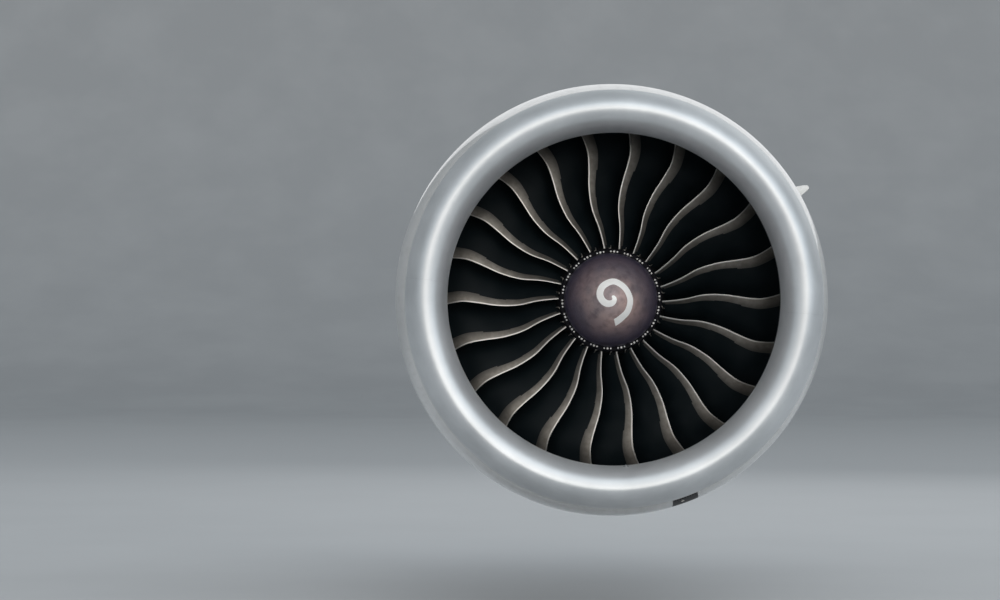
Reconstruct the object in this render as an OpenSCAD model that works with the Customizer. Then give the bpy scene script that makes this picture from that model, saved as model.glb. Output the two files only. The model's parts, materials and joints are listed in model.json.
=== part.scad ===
// High-bypass jet engine in its nacelle, with opening cowls and sliding reverser sleeves.
// Axes: +Y runs aft, +Z up, +X inboard. Stations are millimetres aft of the inlet's foremost circle.
// Clock angles run clockwise from the top, as seen from the front.

/* [Inlet] */
// Radius of the foremost circle of the lip
highlight_r = 1705; // [1680:1:1730]
// Radius of the narrowest circle of the inlet
throat_r = 1510; // [1480:1:1540]
// Station of the narrowest circle
throat_station = 380; // [340:1:420]
// Station of the lip skin's outer edge
lip_outer_edge = 330; // [300:1:360]
// Station of the lip skin's inner edge
lip_inner_edge = 200; // [170:1:230]
// Thickness of the lip skin
lip_skin = 5; // [4:0.5:8]
// Clock angle of the lip's inboard butt seam
lip_seam_inboard = 94.5; // [85:0.5:100]
// Clock angle of the lip's outboard butt seam
lip_seam_outboard = 275.8; // [265:0.1:285]
// Station of the inlet's aft face
inlet_length = 1450; // [1440:1:1460]
// Thickness of the outer barrel
barrel_wall = 14; // [10:1:22]
// Thickness of the acoustic inner barrel
acoustic_wall = 42; // [30:1:50]

/* [Cowls] */
// Largest radius of the nacelle
cowl_max_r = 2050; // [2040:1:2070]
// Station of the largest radius
cowl_max_station = 2000; // [1950:5:2050]
// Station where the fan cowls end
fan_cowl_end = 2650; // [2645:1:2660]
// Station of the fan nozzle's trailing edge
nozzle_station = 4750; // [4700:5:4850]
// Outer radius at the fan nozzle's trailing edge
nozzle_outer_r = 1600; // [1585:1:1620]
// Exponent of the aft cowl's curve
boat_tail = 1.8; // [1.6:0.1:2]
// Thickness of the fan cowls and sleeve skins
cowl_wall = 25; // [18:1:32]
// Running gap between cowl panels
cowl_gap = 3; // [2:0.5:5]
// Distance of the cowl hinge lines from the centre plane
hinge_x = 260; // [250:1:270]
// Half width of the pylon slot between the upper duct walls
slot_half_w = 200; // [190:1:210]
// Travel of the reverser sleeves
sleeve_travel = 560; // [500:10:600]

/* [Fan] */
// Tip radius of the fan
fan_tip_r = 1625; // [1620:1:1630]
// Running gap between blade tips and rub strip
tip_gap = 5; // [4:0.5:8]
// Number of fan blades
blade_count = 22; // [20:1:24]
// Station of the blades' leading edge at the hub
blade_station = 1440; // [1440:1:1446]
// Hub radius at the blades' leading edge
hub_front_r = 491; // [485:1:495]
// Hub radius at the blades' trailing edge
hub_rear_r = 620; // [605:1:630]
// Rim radius of the fan disk
disk_rim_r = 425; // [422:1:430]
// Base radius of the spinner dome
spinner_r = 440; // [425:1:445]
// Length of the spinner dome
spinner_length = 610; // [560:10:660]
// Thickness of the spinner's wall
spinner_wall = 8; // [6:1:12]
// Radius of the spinner's bolt circle
bolt_circle_r = 457; // [455:1:460]
// Radius of one spinner bolt's head
bolt_head_r = 9; // [7:0.5:10]

/* [Duct] */
// Thickness of the liners inside the fan case
liner_t = 22; // [18:1:26]
// Wall of the fan case
fan_case_wall = 28; // [22:1:34]
// Radius of the duct's inner wall under the guide vanes
vane_hub_r = 955; // [950:1:965]
// Number of outlet guide vanes
vane_count = 40; // [36:2:44]
// Station of the guide vanes' leading edge
vane_station = 2250; // [2240:1:2260]
// Axial length of the guide vanes
vane_length = 290; // [270:5:300]
// Thickness of the duct's inner wall
duct_wall = 20; // [16:1:26]
// Largest radius of the duct's inner wall
duct_bulge_r = 1010; // [1000:1:1030]
// Station where the core cowl ends
core_cowl_end = 5450; // [5440:5:5470]
// Radius of the core cowl's end
core_cowl_end_r = 885; // [880:1:900]

/* [Core] */
// Radial depth from the duct's inner wall down to the booster case
splitter_depth = 70; // [67:1:73]
// Radius of the booster drum
booster_drum_r = 640; // [630:1:645]
// Number of blades in each booster row
booster_blades = 32; // [30:2:40]
// Inner radius of the compressor case at its front
compressor_r = 480; // [475:1:490]
// Number of blades in each compressor row
compressor_blades = 24; // [24:2:36]
// Inner radius of the combustor case
combustor_r = 530; // [520:1:540]
// Number of fuel nozzles
nozzle_count = 30; // [24:2:30]
// Inner radius of the turbine case at its rear
turbine_r = 800; // [790:1:810]
// Number of blades in each turbine row
turbine_blades = 36; // [30:2:44]
// Wall of the core cases
case_wall = 12; // [10:1:16]
// Depth and thickness of the core cases' flanges
flange = 26; // [20:1:30]
// Number of struts in the frames
strut_count = 10; // [8:2:12]
// Outer radius of the low-pressure shaft
low_shaft_r = 90; // [80:1:95]
// Wall of the low-pressure shaft
shaft_wall = 24; // [18:1:30]
// Radial gap between a shaft and what runs round it
running_gap = 0.3; // [0.2:0.05:0.5]
// Station of the exhaust plug's tip
plug_tip_station = 6850; // [6800:10:6900]
// Radius of the exhaust plug's base
plug_r = 480; // [470:1:490]
// Radius of the core nozzle's exit
core_nozzle_r = 720; // [700:5:730]
// Station of the core nozzle's exit
core_nozzle_station = 6000; // [5950:10:6050]

/* [Mounts] */
// Height of the forward mount's face above the axis
mount_height = 1150; // [1130:1:1160]
// Station of the forward mount's bolt pattern
mount_station = 2720; // [2715:1:2725]
// Bolt spacing of the forward mount across the engine
mount_bolt_x = 240; // [220:1:250]
// Bolt spacing of the forward mount along the engine
mount_bolt_y = 110; // [100:1:120]
// Radius of the forward mount's bolt holes
mount_hole_r = 16; // [12:0.5:18]
// Bolt spacing of the aft mount across the engine
aft_bolt_x = 200; // [180:1:210]
// Bolt spacing of the aft mount along the engine
aft_bolt_y = 90; // [80:1:95]
// Radius of the aft mount's bolt holes
aft_hole_r = 13; // [10:0.5:14]

/* [Accessories] */
// Depth of the accessory gearbox along the engine
gearbox_w = 220; // [200:5:240]
// Radius of the oil tank
oil_tank_r = 120; // [110:1:125]
// Length of the oil tank
oil_tank_l = 620; // [560:10:660]

/* [Hidden] */

round_fn = 256;
small_fn = 48;
fit = 0.3;
clear = 3;
duct_r = fan_tip_r + tip_gap;
case_r = duct_r + liner_t;
case_out_r = case_r + fan_case_wall;
case_flange_r = case_out_r + 60;
case_end = fan_cowl_end - 10;
pitch = 360 / blade_count;

// Stations of the core, front to back
splitter_station = 2080;
hub_frame_front = 2552;
gooseneck_station = 2700;
compressor_front = 3000;
combustor_front = 3800;
turbine_front = 4150;
low_turbine_front = 4500;
rear_frame_front = 5400;
rear_frame_end = 5590;

// Radii of the core's gas path
booster_r = vane_hub_r - splitter_depth;
passage_outer_r = booster_r - 25;
passage_inner_r = booster_drum_r - 20;
compressor_hub_r = 330;
compressor_exit_r = 440;
compressor_exit_hub_r = 390;
turbine_entry_r = 470;
turbine_hub_r = 360;

// Evenly spaced values from a to b
function steps(a, b, n) = [for (i = [0:n]) a + (b - a) * i / n];

// Contours, as radius at a station
function blend(a, b, u) = a + (b - a) * (1 - cos(180 * min(max(u, 0), 1))) / 2;
function outer_r(z) = z <= cowl_max_station
    ? highlight_r + (cowl_max_r - highlight_r) * sqrt(1 - pow(1 - z / cowl_max_station, 2))
    : cowl_max_r - (cowl_max_r - nozzle_outer_r)
      * pow((z - cowl_max_station) / (nozzle_station - cowl_max_station), boat_tail);
function inlet_r(z) = z <= throat_station
    ? highlight_r - (highlight_r - throat_r) * sqrt(1 - pow(1 - z / throat_station, 2))
    : blend(throat_r, duct_r, (z - throat_station) / (inlet_length - throat_station));
nozzle_inner_r = nozzle_outer_r - 12;
function duct_outer_r(z) = blend(duct_r, nozzle_inner_r, (z - fan_cowl_end)
    / (nozzle_station - fan_cowl_end));
duct_bulge_station = 3400;
function duct_inner_r(z) = z <= duct_bulge_station
    ? blend(vane_hub_r, duct_bulge_r, (z - fan_cowl_end) / (duct_bulge_station - fan_cowl_end))
    : blend(duct_bulge_r, core_cowl_end_r, (z - duct_bulge_station) / (core_cowl_end - duct_bulge_station));
function passage_out(z) = blend(passage_outer_r, compressor_r, (z - gooseneck_station)
    / (compressor_front - gooseneck_station));
function passage_in(z) = blend(passage_inner_r, compressor_hub_r, (z - gooseneck_station)
    / (compressor_front - gooseneck_station));
turbine_path = concat([turbine_front], steps(turbine_front + 150, rear_frame_front - fit, 8));
turbine_table = [for (z = turbine_path) [z, blend(turbine_entry_r, turbine_r,
    (z - turbine_front - 150) / (rear_frame_front - turbine_front - 150))]];
function turbine_wall(z) = lookup(z, turbine_table);

// Reverses a list of points
function back(list) = [for (i = [len(list) - 1:-1:0]) list[i]];
// Value at v of a table of [position, value], smooth through its points
function slope(t, i) = (t[min(i + 1, len(t) - 1)][1] - t[max(i - 1, 0)][1])
    / (t[min(i + 1, len(t) - 1)][0] - t[max(i - 1, 0)][0]);
function segment(t, v) = max([for (i = [0:len(t) - 2]) v >= t[i][0] ? i : 0]);
function hermite(t, i, v) =
    let (h = t[i + 1][0] - t[i][0], u = (v - t[i][0]) / h)
    t[i][1] * (1 + 2 * u) * pow(1 - u, 2) + t[i + 1][1] * u * u * (3 - 2 * u)
    + h * u * (1 - u) * (slope(t, i) * (1 - u) - slope(t, i + 1) * u);
function curve(t, v) = hermite(t, segment(t, v), v);

// Puts a shape that is built along the engine's axis into the engine's frame
module on_axis() {
    translate([0, -mount_station, -mount_height]) rotate([-90, 0, 0]) children();
}
// A turned piece from a profile of [radius, station], between two clock angles
module turn(profile, from = 0, to = 360) {
    rotate_extrude(angle = to - from, start = from - 90, $fn = round_fn) polygon(profile);
}
// A plain ring
module ring(r0, r1, z0, z1, from = 0, to = 360) {
    turn([[r0, z0], [r1, z0], [r1, z1], [r0, z1]], from, to);
}
// Places a piece at a clock angle, radius and station; its -Y then points outwards
module at_clock(clock, r, z) {
    rotate([0, 0, clock]) translate([0, -r, z]) children();
}
// Profile between two contours, each a list of [radius, station]
function between(outer, inner) = concat(outer, back(inner));

// Inlet
inlet_end = inlet_length - fit;
cowl_rise = cowl_max_r - highlight_r;
throat_drop = highlight_r - throat_r;
lip_turn_out = acos(1 - lip_outer_edge / cowl_max_station);
lip_turn_in = acos(1 - lip_inner_edge / throat_station);
lip_steps = 12;
seam_half = 0.3 / highlight_r * 180 / PI;
// A point of the lip at turn t on an ellipse of half height b and half length a, at a depth under the skin
function nose_point(b, a, t, depth) =
    let (n = [a * sin(t) * sign(b), -abs(b) * cos(t)])
    [highlight_r + b * sin(t) - depth * n[0] / norm(n), a * (1 - cos(t)) - depth * n[1] / norm(n)];
function trim(p, edge) = [p[0], min(p[1], edge)];
function lip_path(depth) = concat(
    [for (t = steps(lip_turn_out, 0, lip_steps))
        trim(nose_point(cowl_rise, cowl_max_station, t, depth), lip_outer_edge)],
    [for (i = [1:lip_steps])
        trim(nose_point(-throat_drop, throat_station, lip_turn_in * i / lip_steps, depth), lip_inner_edge)]);
module lip(from, to) {
    color("silver") on_axis() turn(between(lip_path(0), lip_path(lip_skin)), from + seam_half,
        to - seam_half);
}
module lip_upper() { lip(lip_seam_outboard - 360, lip_seam_inboard); }
module lip_lower() { lip(lip_seam_inboard, lip_seam_outboard); }

// Radius under the lip skin, outside and inside of the hollow lip
skin_seat = lip_skin * 1.1 + fit;
web_foot = inlet_r(lip_inner_edge) + acoustic_wall + 8;
barrel_seat = barrel_wall * 1.04 + fit;
rib_t = 4;
lap = 30;
module inlet_bulkheads() {
    zi = lip_inner_edge - fit;
    zo = lip_outer_edge - fit;
    aft = inlet_end - 60;
    color("tan") on_axis() {
        turn([
            [inlet_r(zi - lap) + skin_seat, zi - lap], [inlet_r(zi) + skin_seat, zi], [web_foot, zi],
            [outer_r(zo) - barrel_seat - rib_t, zo + rib_t],
            [outer_r(zo + lap) - barrel_seat - rib_t, zo + lap],
            [outer_r(zo + lap) - barrel_seat, zo + lap], [outer_r(zo) - barrel_seat, zo],
            [outer_r(zo) - skin_seat, zo], [outer_r(zo - lap) - skin_seat, zo - lap],
            [outer_r(zo - lap) - skin_seat - rib_t, zo - lap],
            [outer_r(zo) - barrel_seat - rib_t, zo - rib_t],
            [web_foot, zi - rib_t], [inlet_r(zi) + skin_seat + rib_t, zi - rib_t],
            [inlet_r(zi - lap) + skin_seat + rib_t, zi - lap]
        ]);
        turn([
            [inlet_r(aft) + acoustic_wall + fit, aft], [outer_r(aft) - barrel_seat, aft],
            [outer_r(aft + lap) - barrel_seat, aft + lap],
            [outer_r(aft + lap) - barrel_seat - rib_t, aft + lap],
            [outer_r(aft) - barrel_seat - rib_t, aft + rib_t],
            [inlet_r(aft) + acoustic_wall + fit + rib_t, aft + rib_t],
            [inlet_r(aft + lap) + acoustic_wall + fit + rib_t, aft + lap],
            [inlet_r(aft + lap) + acoustic_wall + fit, aft + lap]
        ]);
    }
}

// Outlet of the lip's anti-ice air, a slotted panel in the outer barrel
outlet_from = 156.6;
outlet_to = 163.8;
outlet_front = lip_outer_edge + 18;
outlet_end = outlet_front + 592;
outlet_slots = 9;
slot_l = 65;
slot_front = outlet_front + 15;
function skin_ring(z0, z1, wall, n) = between(
    [for (z = steps(z0, z1, n)) [outer_r(z), z]], [for (z = steps(z0, z1, n)) [outer_r(z) - wall, z]]);
module inlet_outer_barrel() {
    color("gainsboro") on_axis() difference() {
        turn(skin_ring(lip_outer_edge + fit, inlet_end, barrel_wall, 12));
        ring(throat_r, cowl_max_r, outlet_front, outlet_end, outlet_from, outlet_to);
    }
}
module anti_ice_outlet() {
    edge = 0.01;
    slot = (outlet_to - outlet_from) / (outlet_slots + 1);
    color("dimgray") on_axis() difference() {
        turn(skin_ring(outlet_front + fit, outlet_end - fit, barrel_wall, 8), outlet_from + edge,
            outlet_to - edge);
        for (i = [1:outlet_slots])
            ring(throat_r, cowl_max_r, slot_front, slot_front + slot_l,
                 outlet_from + slot * (i - 0.25), outlet_from + slot * (i + 0.25));
    }
}
module inlet_inner_barrel() {
    front = lip_inner_edge + fit;
    path = [for (z = concat(steps(front, throat_station, 6), [for (i = [1:10])
        throat_station + (inlet_end - throat_station) * i / 10])) z];
    color("dimgray") on_axis() turn(between(
        [for (z = path) [inlet_r(z), z]], back([for (z = back(path)) [inlet_r(z) + acoustic_wall, z]])));
}
ice_tube_r = 20;
ice_tube_station = 130;
ice_brackets = 12;
module anti_ice_tube() {
    web_r = highlight_r + 10;
    zi = lip_inner_edge - fit;
    zo = lip_outer_edge - fit;
    inner = web_foot;
    outer = outer_r(zo) - barrel_seat - rib_t;
    web = zi - rib_t + (zo - zi) * (web_r - inner) / (outer - inner);
    half = 14;
    slope_drop = half * (zo - zi) / (outer - inner) + fit;
    color("lightsteelblue") on_axis() {
        rotate_extrude($fn = round_fn) translate([web_r, ice_tube_station]) circle(ice_tube_r,
            $fn = small_fn);
        for (i = [0:ice_brackets - 1])
            at_clock((i + 0.5) * 360 / ice_brackets, web_r - half, ice_tube_station)
                translate([-3, -2 * half, 0]) cube([6, 2 * half, web - ice_tube_station - slope_drop]);
    }
}
probe_clock = 176;
probe_station = throat_station - 90;
probe_base_r = 26;
probe_tilt = atan((inlet_r(probe_station + probe_base_r) - inlet_r(probe_station - probe_base_r))
    / (2 * probe_base_r));
module inlet_probe() {
    color("silver") on_axis() at_clock(probe_clock, inlet_r(probe_station) - 2 * fit, probe_station)
        rotate([probe_tilt, 0, 0]) {
            rotate([-90, 0, 0]) cylinder(r = probe_base_r, h = 3, $fn = small_fn);
            rotate([-90, 0, 0]) linear_extrude(14) hull() {
                circle(9, $fn = 32);
                translate([0, -20]) circle(2.5, $fn = 32);
            }
        }
}

// Fan case and duct
ring_stations = [inlet_length + fit, 2000, case_end - flange];
case_foot = 40;
// Hole at the bottom of the case for the radial drive
module drive_hole() {
    at_clock(180, duct_r - vane_shroud_t, drive_station) rotate([90, 0, 0])
        cylinder(r = drive_r + fit, h = 200, $fn = small_fn);
}
module fan_case() {
    color("slategray") on_axis() difference() {
        rotate_extrude($fn = round_fn) {
            translate([case_r, inlet_length + fit])
                square([fan_case_wall, case_end - inlet_length - fit]);
            for (z = ring_stations) translate([case_r, z]) square([case_flange_r - case_r, flange]);
            translate([duct_r, case_end - case_foot]) square([liner_t + 1, case_foot]);
        }
        drive_hole();
    }
}
rub_front = 1480;
rub_end = 1830;
vane_shroud_t = 10;
vane_end = vane_station + vane_length;
module fan_case_liners() {
    spans = [[inlet_length + fit, rub_front - fit], [rub_front, rub_end],
             [rub_end + fit, vane_station - fit], [vane_end + fit, case_end - case_foot - fit]];
    color("gray") on_axis() difference() {
        union() {
            for (s = spans) ring(duct_r, case_r - fit, s[0], s[1]);
            ring(duct_r - vane_shroud_t, case_r - fit, vane_station, vane_end);
        }
        drive_hole();
    }
}
// Section of a vane or core blade, along the station, of the given chord and thickness
function vane_section(c, t) = [[0, 0], [t * 0.6, c * 0.2], [t * 0.8, c * 0.45], [t * 0.45, c * 0.8],
    [0, c], [-t * 0.05, c * 0.8], [-t * 0.2, c * 0.45], [-t * 0.25, c * 0.2]];
// One row of equal vanes between two radii
module vane_row(count, z, chord, thick, turn_by, r0, r1) {
    for (i = [0:count - 1])
        at_clock((i + 0.5) * 360 / count, r0, z + chord * cos(turn_by) / 2) rotate([90, 0, 0])
            linear_extrude(r1 - r0) rotate(turn_by) translate([0, -chord / 2])
                polygon(vane_section(chord, thick));
}
vane_turn = -12;
vane_inset = 12;
vane_t = 26;
module outlet_guide_vanes() {
    chord = (vane_length - 2 * vane_inset) / cos(vane_turn);
    color("darkgray") on_axis()
        vane_row(vane_count, vane_station + vane_inset, chord, vane_t, vane_turn,
                 vane_hub_r + fit, duct_r - vane_shroud_t - 3 * fit);
}

// Frame behind the booster: two turned walls tied by struts, with the bearing supports inside
hub_outer_r = vane_hub_r - vane_shroud_t - fit;
hub_wall = 30;
front_bearing_station = 2400;
rear_bearing_station = 2900;
bearing_w = 60;
bearing_t = 40;
low_bearing_r = low_shaft_r + running_gap + bearing_t;
high_shaft_r = 150;
high_bearing_r = high_shaft_r + running_gap + bearing_t;
support_t = 16;
module fan_hub_frame() {
    zs = steps(gooseneck_station, compressor_front - fit, 8);
    path = concat([hub_frame_front + fit], zs);
    color("silver") on_axis() {
        turn(between([for (z = path) [passage_out(z), z]], [for (z = path) [passage_out(z) + hub_wall, z]]));
        turn(between([for (z = path) [passage_in(z), z]], [for (z = path) [passage_in(z) - hub_wall, z]]));
        for (i = [0:strut_count - 1])
            at_clock((i + 0.5) * 360 / strut_count, passage_inner_r - hub_wall / 2, hub_frame_front + 20)
                rotate([90, 0, 0]) linear_extrude(passage_outer_r - passage_inner_r + hub_wall)
                    polygon(vane_section(120, 30));
        clevis(link_front, passage_out(link_front) + hub_wall);
        rotate_extrude($fn = round_fn) {
            translate([passage_outer_r + hub_wall - 1, hub_frame_front + fit])
                square([hub_outer_r - passage_outer_r - hub_wall + 1, 18]);
            translate([hub_outer_r - 18, vane_station])
                square([vane_hub_r - hub_outer_r + 18, fan_cowl_end - vane_station]);
            translate([passage_outer_r + hub_wall - 1, fan_cowl_end - 14])
                square([hub_outer_r - passage_outer_r - hub_wall + 1, 14]);
            translate([compressor_r + hub_wall - 1, compressor_front - fit - flange / 2])
                square([flange, flange / 2]);
            polygon([[passage_inner_r - hub_wall, hub_frame_front + fit], [passage_inner_r - hub_wall,
                hub_frame_front + 60],
                     [low_bearing_r + support_t, front_bearing_station + bearing_w], [low_bearing_r,
                         front_bearing_station + bearing_w],
                     [low_bearing_r, front_bearing_station], [low_bearing_r + support_t,
                         front_bearing_station]]);
            polygon([[compressor_hub_r - hub_wall + 1, compressor_front - 40 - fit],
                [compressor_hub_r - hub_wall + 1, compressor_front - fit],
                     [high_bearing_r, rear_bearing_station + bearing_w], [high_bearing_r,
                         rear_bearing_station],
                     [high_bearing_r + support_t, rear_bearing_station]]);
        }
    }
}
module splitter_nose() {
    r = booster_r + 10;
    z1 = vane_station - fit;
    color("silver") on_axis() {
        turn([[r, splitter_station], [r + 16, splitter_station + 30], [vane_hub_r - 2, z1 - 60],
            [vane_hub_r, z1],
              [hub_outer_r - 8, z1], [r + 24, splitter_station + 70], [booster_r + case_wall + fit,
                  splitter_station + 70],
              [booster_r + case_wall + fit, splitter_station + 42], [booster_r, splitter_station + 40],
              [r - 8, splitter_station + 12]]);
    }
}
booster_end = hub_frame_front - 152;
module booster_case() {
    z0 = splitter_station + 45;
    color("lightslategray") on_axis() {
        rotate_extrude($fn = round_fn) {
            polygon([[booster_r, z0], [booster_r + case_wall, z0], [booster_r + case_wall, booster_end],
                     [passage_outer_r + case_wall, hub_frame_front], [passage_outer_r, hub_frame_front],
                     [booster_r, booster_end]]);
            translate([passage_outer_r, hub_frame_front - flange / 2]) square([flange + case_wall,
                flange / 2]);
        }
        vane_row(booster_blades, z0 + 5, 60, 8, -20, booster_drum_r + clear, booster_r - fit);
    }
}

// Core cases
module flanged_case(r0, r1, z0, z1) {
    rotate_extrude($fn = round_fn) {
        polygon([[r0, z0], [r0 + case_wall, z0], [r1 + case_wall, z1], [r1, z1]]);
        translate([r0, z0]) square([case_wall + flange, flange / 2]);
        translate([r1, z1 - flange / 2]) square([case_wall + flange, flange / 2]);
    }
}
module compressor_case() {
    color("lightsteelblue") on_axis() flanged_case(compressor_r, compressor_exit_r, compressor_front,
        combustor_front - fit);
}
module combustor_case() {
    z = combustor_front;
    e = turbine_front - fit;
    color("steelblue") on_axis() difference() {
        rotate_extrude($fn = round_fn) {
            polygon([[compressor_exit_r, z], [compressor_exit_r + case_wall, z],
                [combustor_r + case_wall, z + 90],
                     [combustor_r + case_wall, e], [combustor_r, e], [combustor_r, z + 95]]);
            translate([compressor_exit_r, z]) square([case_wall + flange, flange / 2]);
            translate([combustor_r, e - flange / 2]) square([case_wall + flange, flange / 2]);
        }
        for (i = [0:nozzle_count - 1])
            at_clock(i * 360 / nozzle_count, combustor_r - 20, z + 130) rotate([90, 0, 0])
                cylinder(r = 9, h = 60, $fn = small_fn);
    }
}
module combustor_liner() {
    z = combustor_front + 100;
    e = turbine_front - 12;
    t = 5;
    color("peru") on_axis() {
        rotate_extrude($fn = round_fn) {
            polygon([[350, z + 30], [365, z], [485, z], [505, z + 30], [combustor_r - fit, e - 40],
                [combustor_r - fit, e],
                     [combustor_r - fit - t, e], [combustor_r - fit - t, e - 40], [500, z + 32], [482, z + t],
                     [368, z + t], [355, z + 32], [turbine_hub_r + 25, e], [turbine_hub_r + 20, e]]);
        }
    }
}
module fuel_nozzles() {
    z = combustor_front + 130;
    r0 = 440;
    r1 = combustor_r + case_wall;
    color("goldenrod") on_axis() {
        for (i = [0:nozzle_count - 1])
            at_clock(i * 360 / nozzle_count, r1 + fit, z) {
                rotate([90, 0, 0]) cylinder(r = 18, h = 14, $fn = small_fn);
                rotate([-90, 0, 0]) cylinder(r = 8, h = 20, $fn = small_fn);
            }
        rotate_extrude($fn = round_fn) translate([r1 + fit + 22, z]) circle(9, $fn = small_fn);
    }
}
module turbine_nozzle() {
    z = turbine_front + 10;
    color("darkgoldenrod") on_axis() {
        ring(turbine_entry_r - 12, turbine_entry_r - fit, z, z + 70);
        ring(turbine_hub_r + 10, turbine_hub_r + 22, z, z + 70);
        vane_row(36, z + 6, 64, 14, -24, turbine_hub_r + 22 + fit, turbine_entry_r - 12 - 2 * fit);
    }
}
module turbine_case() {
    z = turbine_front;
    e = rear_frame_front - fit;
    color("slategray") on_axis() {
        rotate_extrude($fn = round_fn) {
            polygon(between([for (s = turbine_path) [turbine_wall(s) + case_wall, s]],
                            [for (s = turbine_path) [turbine_wall(s), s]]));
            translate([turbine_entry_r, z]) square([combustor_r - turbine_entry_r + case_wall + flange,
                flange / 2]);
            translate([turbine_r, e - flange / 2]) square([case_wall + flange, flange / 2]);
        }
    }
}
cooling_tubes = 5;
cooling_clips = 12;
module turbine_cooling_tubes() {
    clip = 10;
    color("silver") on_axis() for (i = [0:cooling_tubes - 1]) {
        z = low_turbine_front + 120 + 150 * i;
        r = turbine_wall(z) + case_wall + 14;
        seat = turbine_wall(z + clip / 2) + case_wall + fit;
        rotate_extrude($fn = round_fn) translate([r, z]) circle(9, $fn = small_fn);
        for (k = [0:cooling_clips - 1]) at_clock((k + 0.5) * 360 / cooling_clips, seat, z)
            translate([-clip / 2, seat - r, -clip / 2]) cube([clip, r - seat, clip]);
    }
}
rear_hub_r = plug_r - 18;
rear_bearing_seat = 5480;
module turbine_rear_frame() {
    z = rear_frame_front;
    e = rear_frame_end;
    color("darkgray") on_axis() {
        rotate_extrude($fn = round_fn) {
            translate([turbine_r, z]) square([case_wall + 10, e - z]);
            translate([turbine_r, z]) square([case_wall + flange, flange / 2]);
            translate([turbine_r, e - flange / 2]) square([case_wall + flange, flange / 2]);
            translate([rear_hub_r, z]) square([18, e - z]);
            polygon([[rear_hub_r + 1, z + 60], [rear_hub_r + 1, z + 90], [low_bearing_r,
                rear_bearing_seat + bearing_w],
                     [low_bearing_r, rear_bearing_seat], [low_bearing_r + support_t, rear_bearing_seat]]);
        }
        for (i = [0:strut_count - 1])
            at_clock(i * 360 / strut_count, rear_hub_r + 9, z + 20)
                rotate([90, 0, 0]) linear_extrude(turbine_r - rear_hub_r) polygon(vane_section(150, 30));
        clevis(link_end, turbine_r + case_wall + 10);
    }
}
module core_nozzle() {
    z = rear_frame_end + fit;
    e = core_nozzle_station;
    t = 8;
    r0 = turbine_r + case_wall + 10;
    path = steps(z, e, 8);
    color("darkgray") on_axis() rotate_extrude($fn = round_fn) {
        polygon(between([for (s = path) [blend(r0, core_nozzle_r, (s - z) / (e - z)), s]],
                        [for (s = path) [blend(r0, core_nozzle_r, (s - z) / (e - z)) - t, s]]));
        translate([r0 - t, z]) square([flange, flange / 2]);
    }
}
module exhaust_plug() {
    z = rear_frame_end + fit;
    e = plug_tip_station;
    t = 8;
    tip = 30;
    path = steps(0, 1, 14);
    function plug(u) = tip + (plug_r - tip) * pow(cos(90 * u), 1.25);
    color("gray") on_axis() rotate_extrude($fn = round_fn) {
        polygon(concat([for (u = path) [plug(u), z + (e - z) * u]], [[0, e + 12], [0, e - t]],
                       back([for (u = path) [plug(u) - t, z + (e - z) * u * 0.995]])));
        translate([rear_hub_r, z]) square([plug_r - rear_hub_r, flange / 2]);
    }
}

// Fan rotor
spinner_base = 1330;
ring_end = blade_station - 8;
function spinner_out(u) = spinner_r * pow(1 - pow(u, 1.7), 0.75);
module spinner() {
    path = steps(0, 1, 24);
    short = spinner_length - spinner_wall * 1.4;
    in_path = steps(spinner_wall / short, 1, 24);
    color("rosybrown") on_axis() rotate_extrude($fn = round_fn)
        polygon(concat([for (u = path) [spinner_out(u), spinner_base - spinner_length * u]],
                       back([for (u = in_path) [spinner_out(u) * (1 - spinner_wall / spinner_r),
                                                spinner_base - short * u]]),
                       [[spinner_seat_r, spinner_base - spinner_wall], [spinner_seat_r, spinner_base]]));
}
spinner_seat_r = spinner_r - 44;
module spinner_ring() {
    z = spinner_base + fit;
    color("midnightblue") on_axis() rotate_extrude($fn = round_fn)
        polygon([[spinner_seat_r, z], [bolt_circle_r + 20, z], [bolt_circle_r + 26, z + 6],
            [hub_front_r - 2, ring_end],
                 [hub_front_r - 12, ring_end], [bolt_circle_r + 16, z + 14], [spinner_seat_r + 10, z + 14],
                 [spinner_seat_r + 10, disk_front - 14 - fit], [spinner_seat_r + 28, disk_front - fit],
                 [spinner_seat_r - 30, disk_front - fit], [spinner_seat_r, disk_front - 14 - fit]]);
}
bolts_per_gap = 3;
bolt_step = 3.85;
bolt_turn = 2.7;
module spinner_bolts() {
    color("white") on_axis() for (i = [0:blade_count - 1]) for (j = [-1:bolts_per_gap - 2])
        at_clock((i + 0.5) * pitch + leading_clock[0][1] + bolt_turn + j * bolt_step, bolt_circle_r,
            spinner_base - 8)
            cylinder(r = j == 0 ? bolt_head_r : bolt_head_r - 1.5, h = 8, $fn = 6);
}

// Fan blades, as rings of points from the dovetail up to the tip. Tables run over the share of the span.
leading_clock = [[0, 9.4], [0.17, 7.4], [0.33, 5], [0.5, 5.3], [0.67, 6.9], [0.8, 7.6], [0.9, 7], [1, 5.9]];
leading_station = [[0, 0], [0.3, 12], [0.6, 22], [0.85, 30], [1, 60]];
blade_chord = [[0, 520], [0.35, 590], [0.7, 620], [1, 560]];
inlet_angle = [[0, 44], [0.35, 56], [0.7, 64], [1, 69]];
outlet_angle = [[0, 2], [0.35, 34], [0.7, 52], [1, 62]];
blade_thick = [[0, 60], [0.3, 34], [0.7, 18], [1, 10]];
edge_half = 1.5;
chord_steps = 6;
span_shares = [0, 0.1, 0.22, 0.35, 0.5, 0.64, 0.77, 0.89, 1];
blade_root_axial = 470;
disk_bore = 200;
disk_front = blade_station + 20;
disk_length = 440;
web_z = disk_front + 120;
web_end = web_z + 140;
tail_skew = 14;
tail_depth = [[345, 36], [372, 36], [402, 22], [disk_rim_r + 3, 22]];
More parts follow.
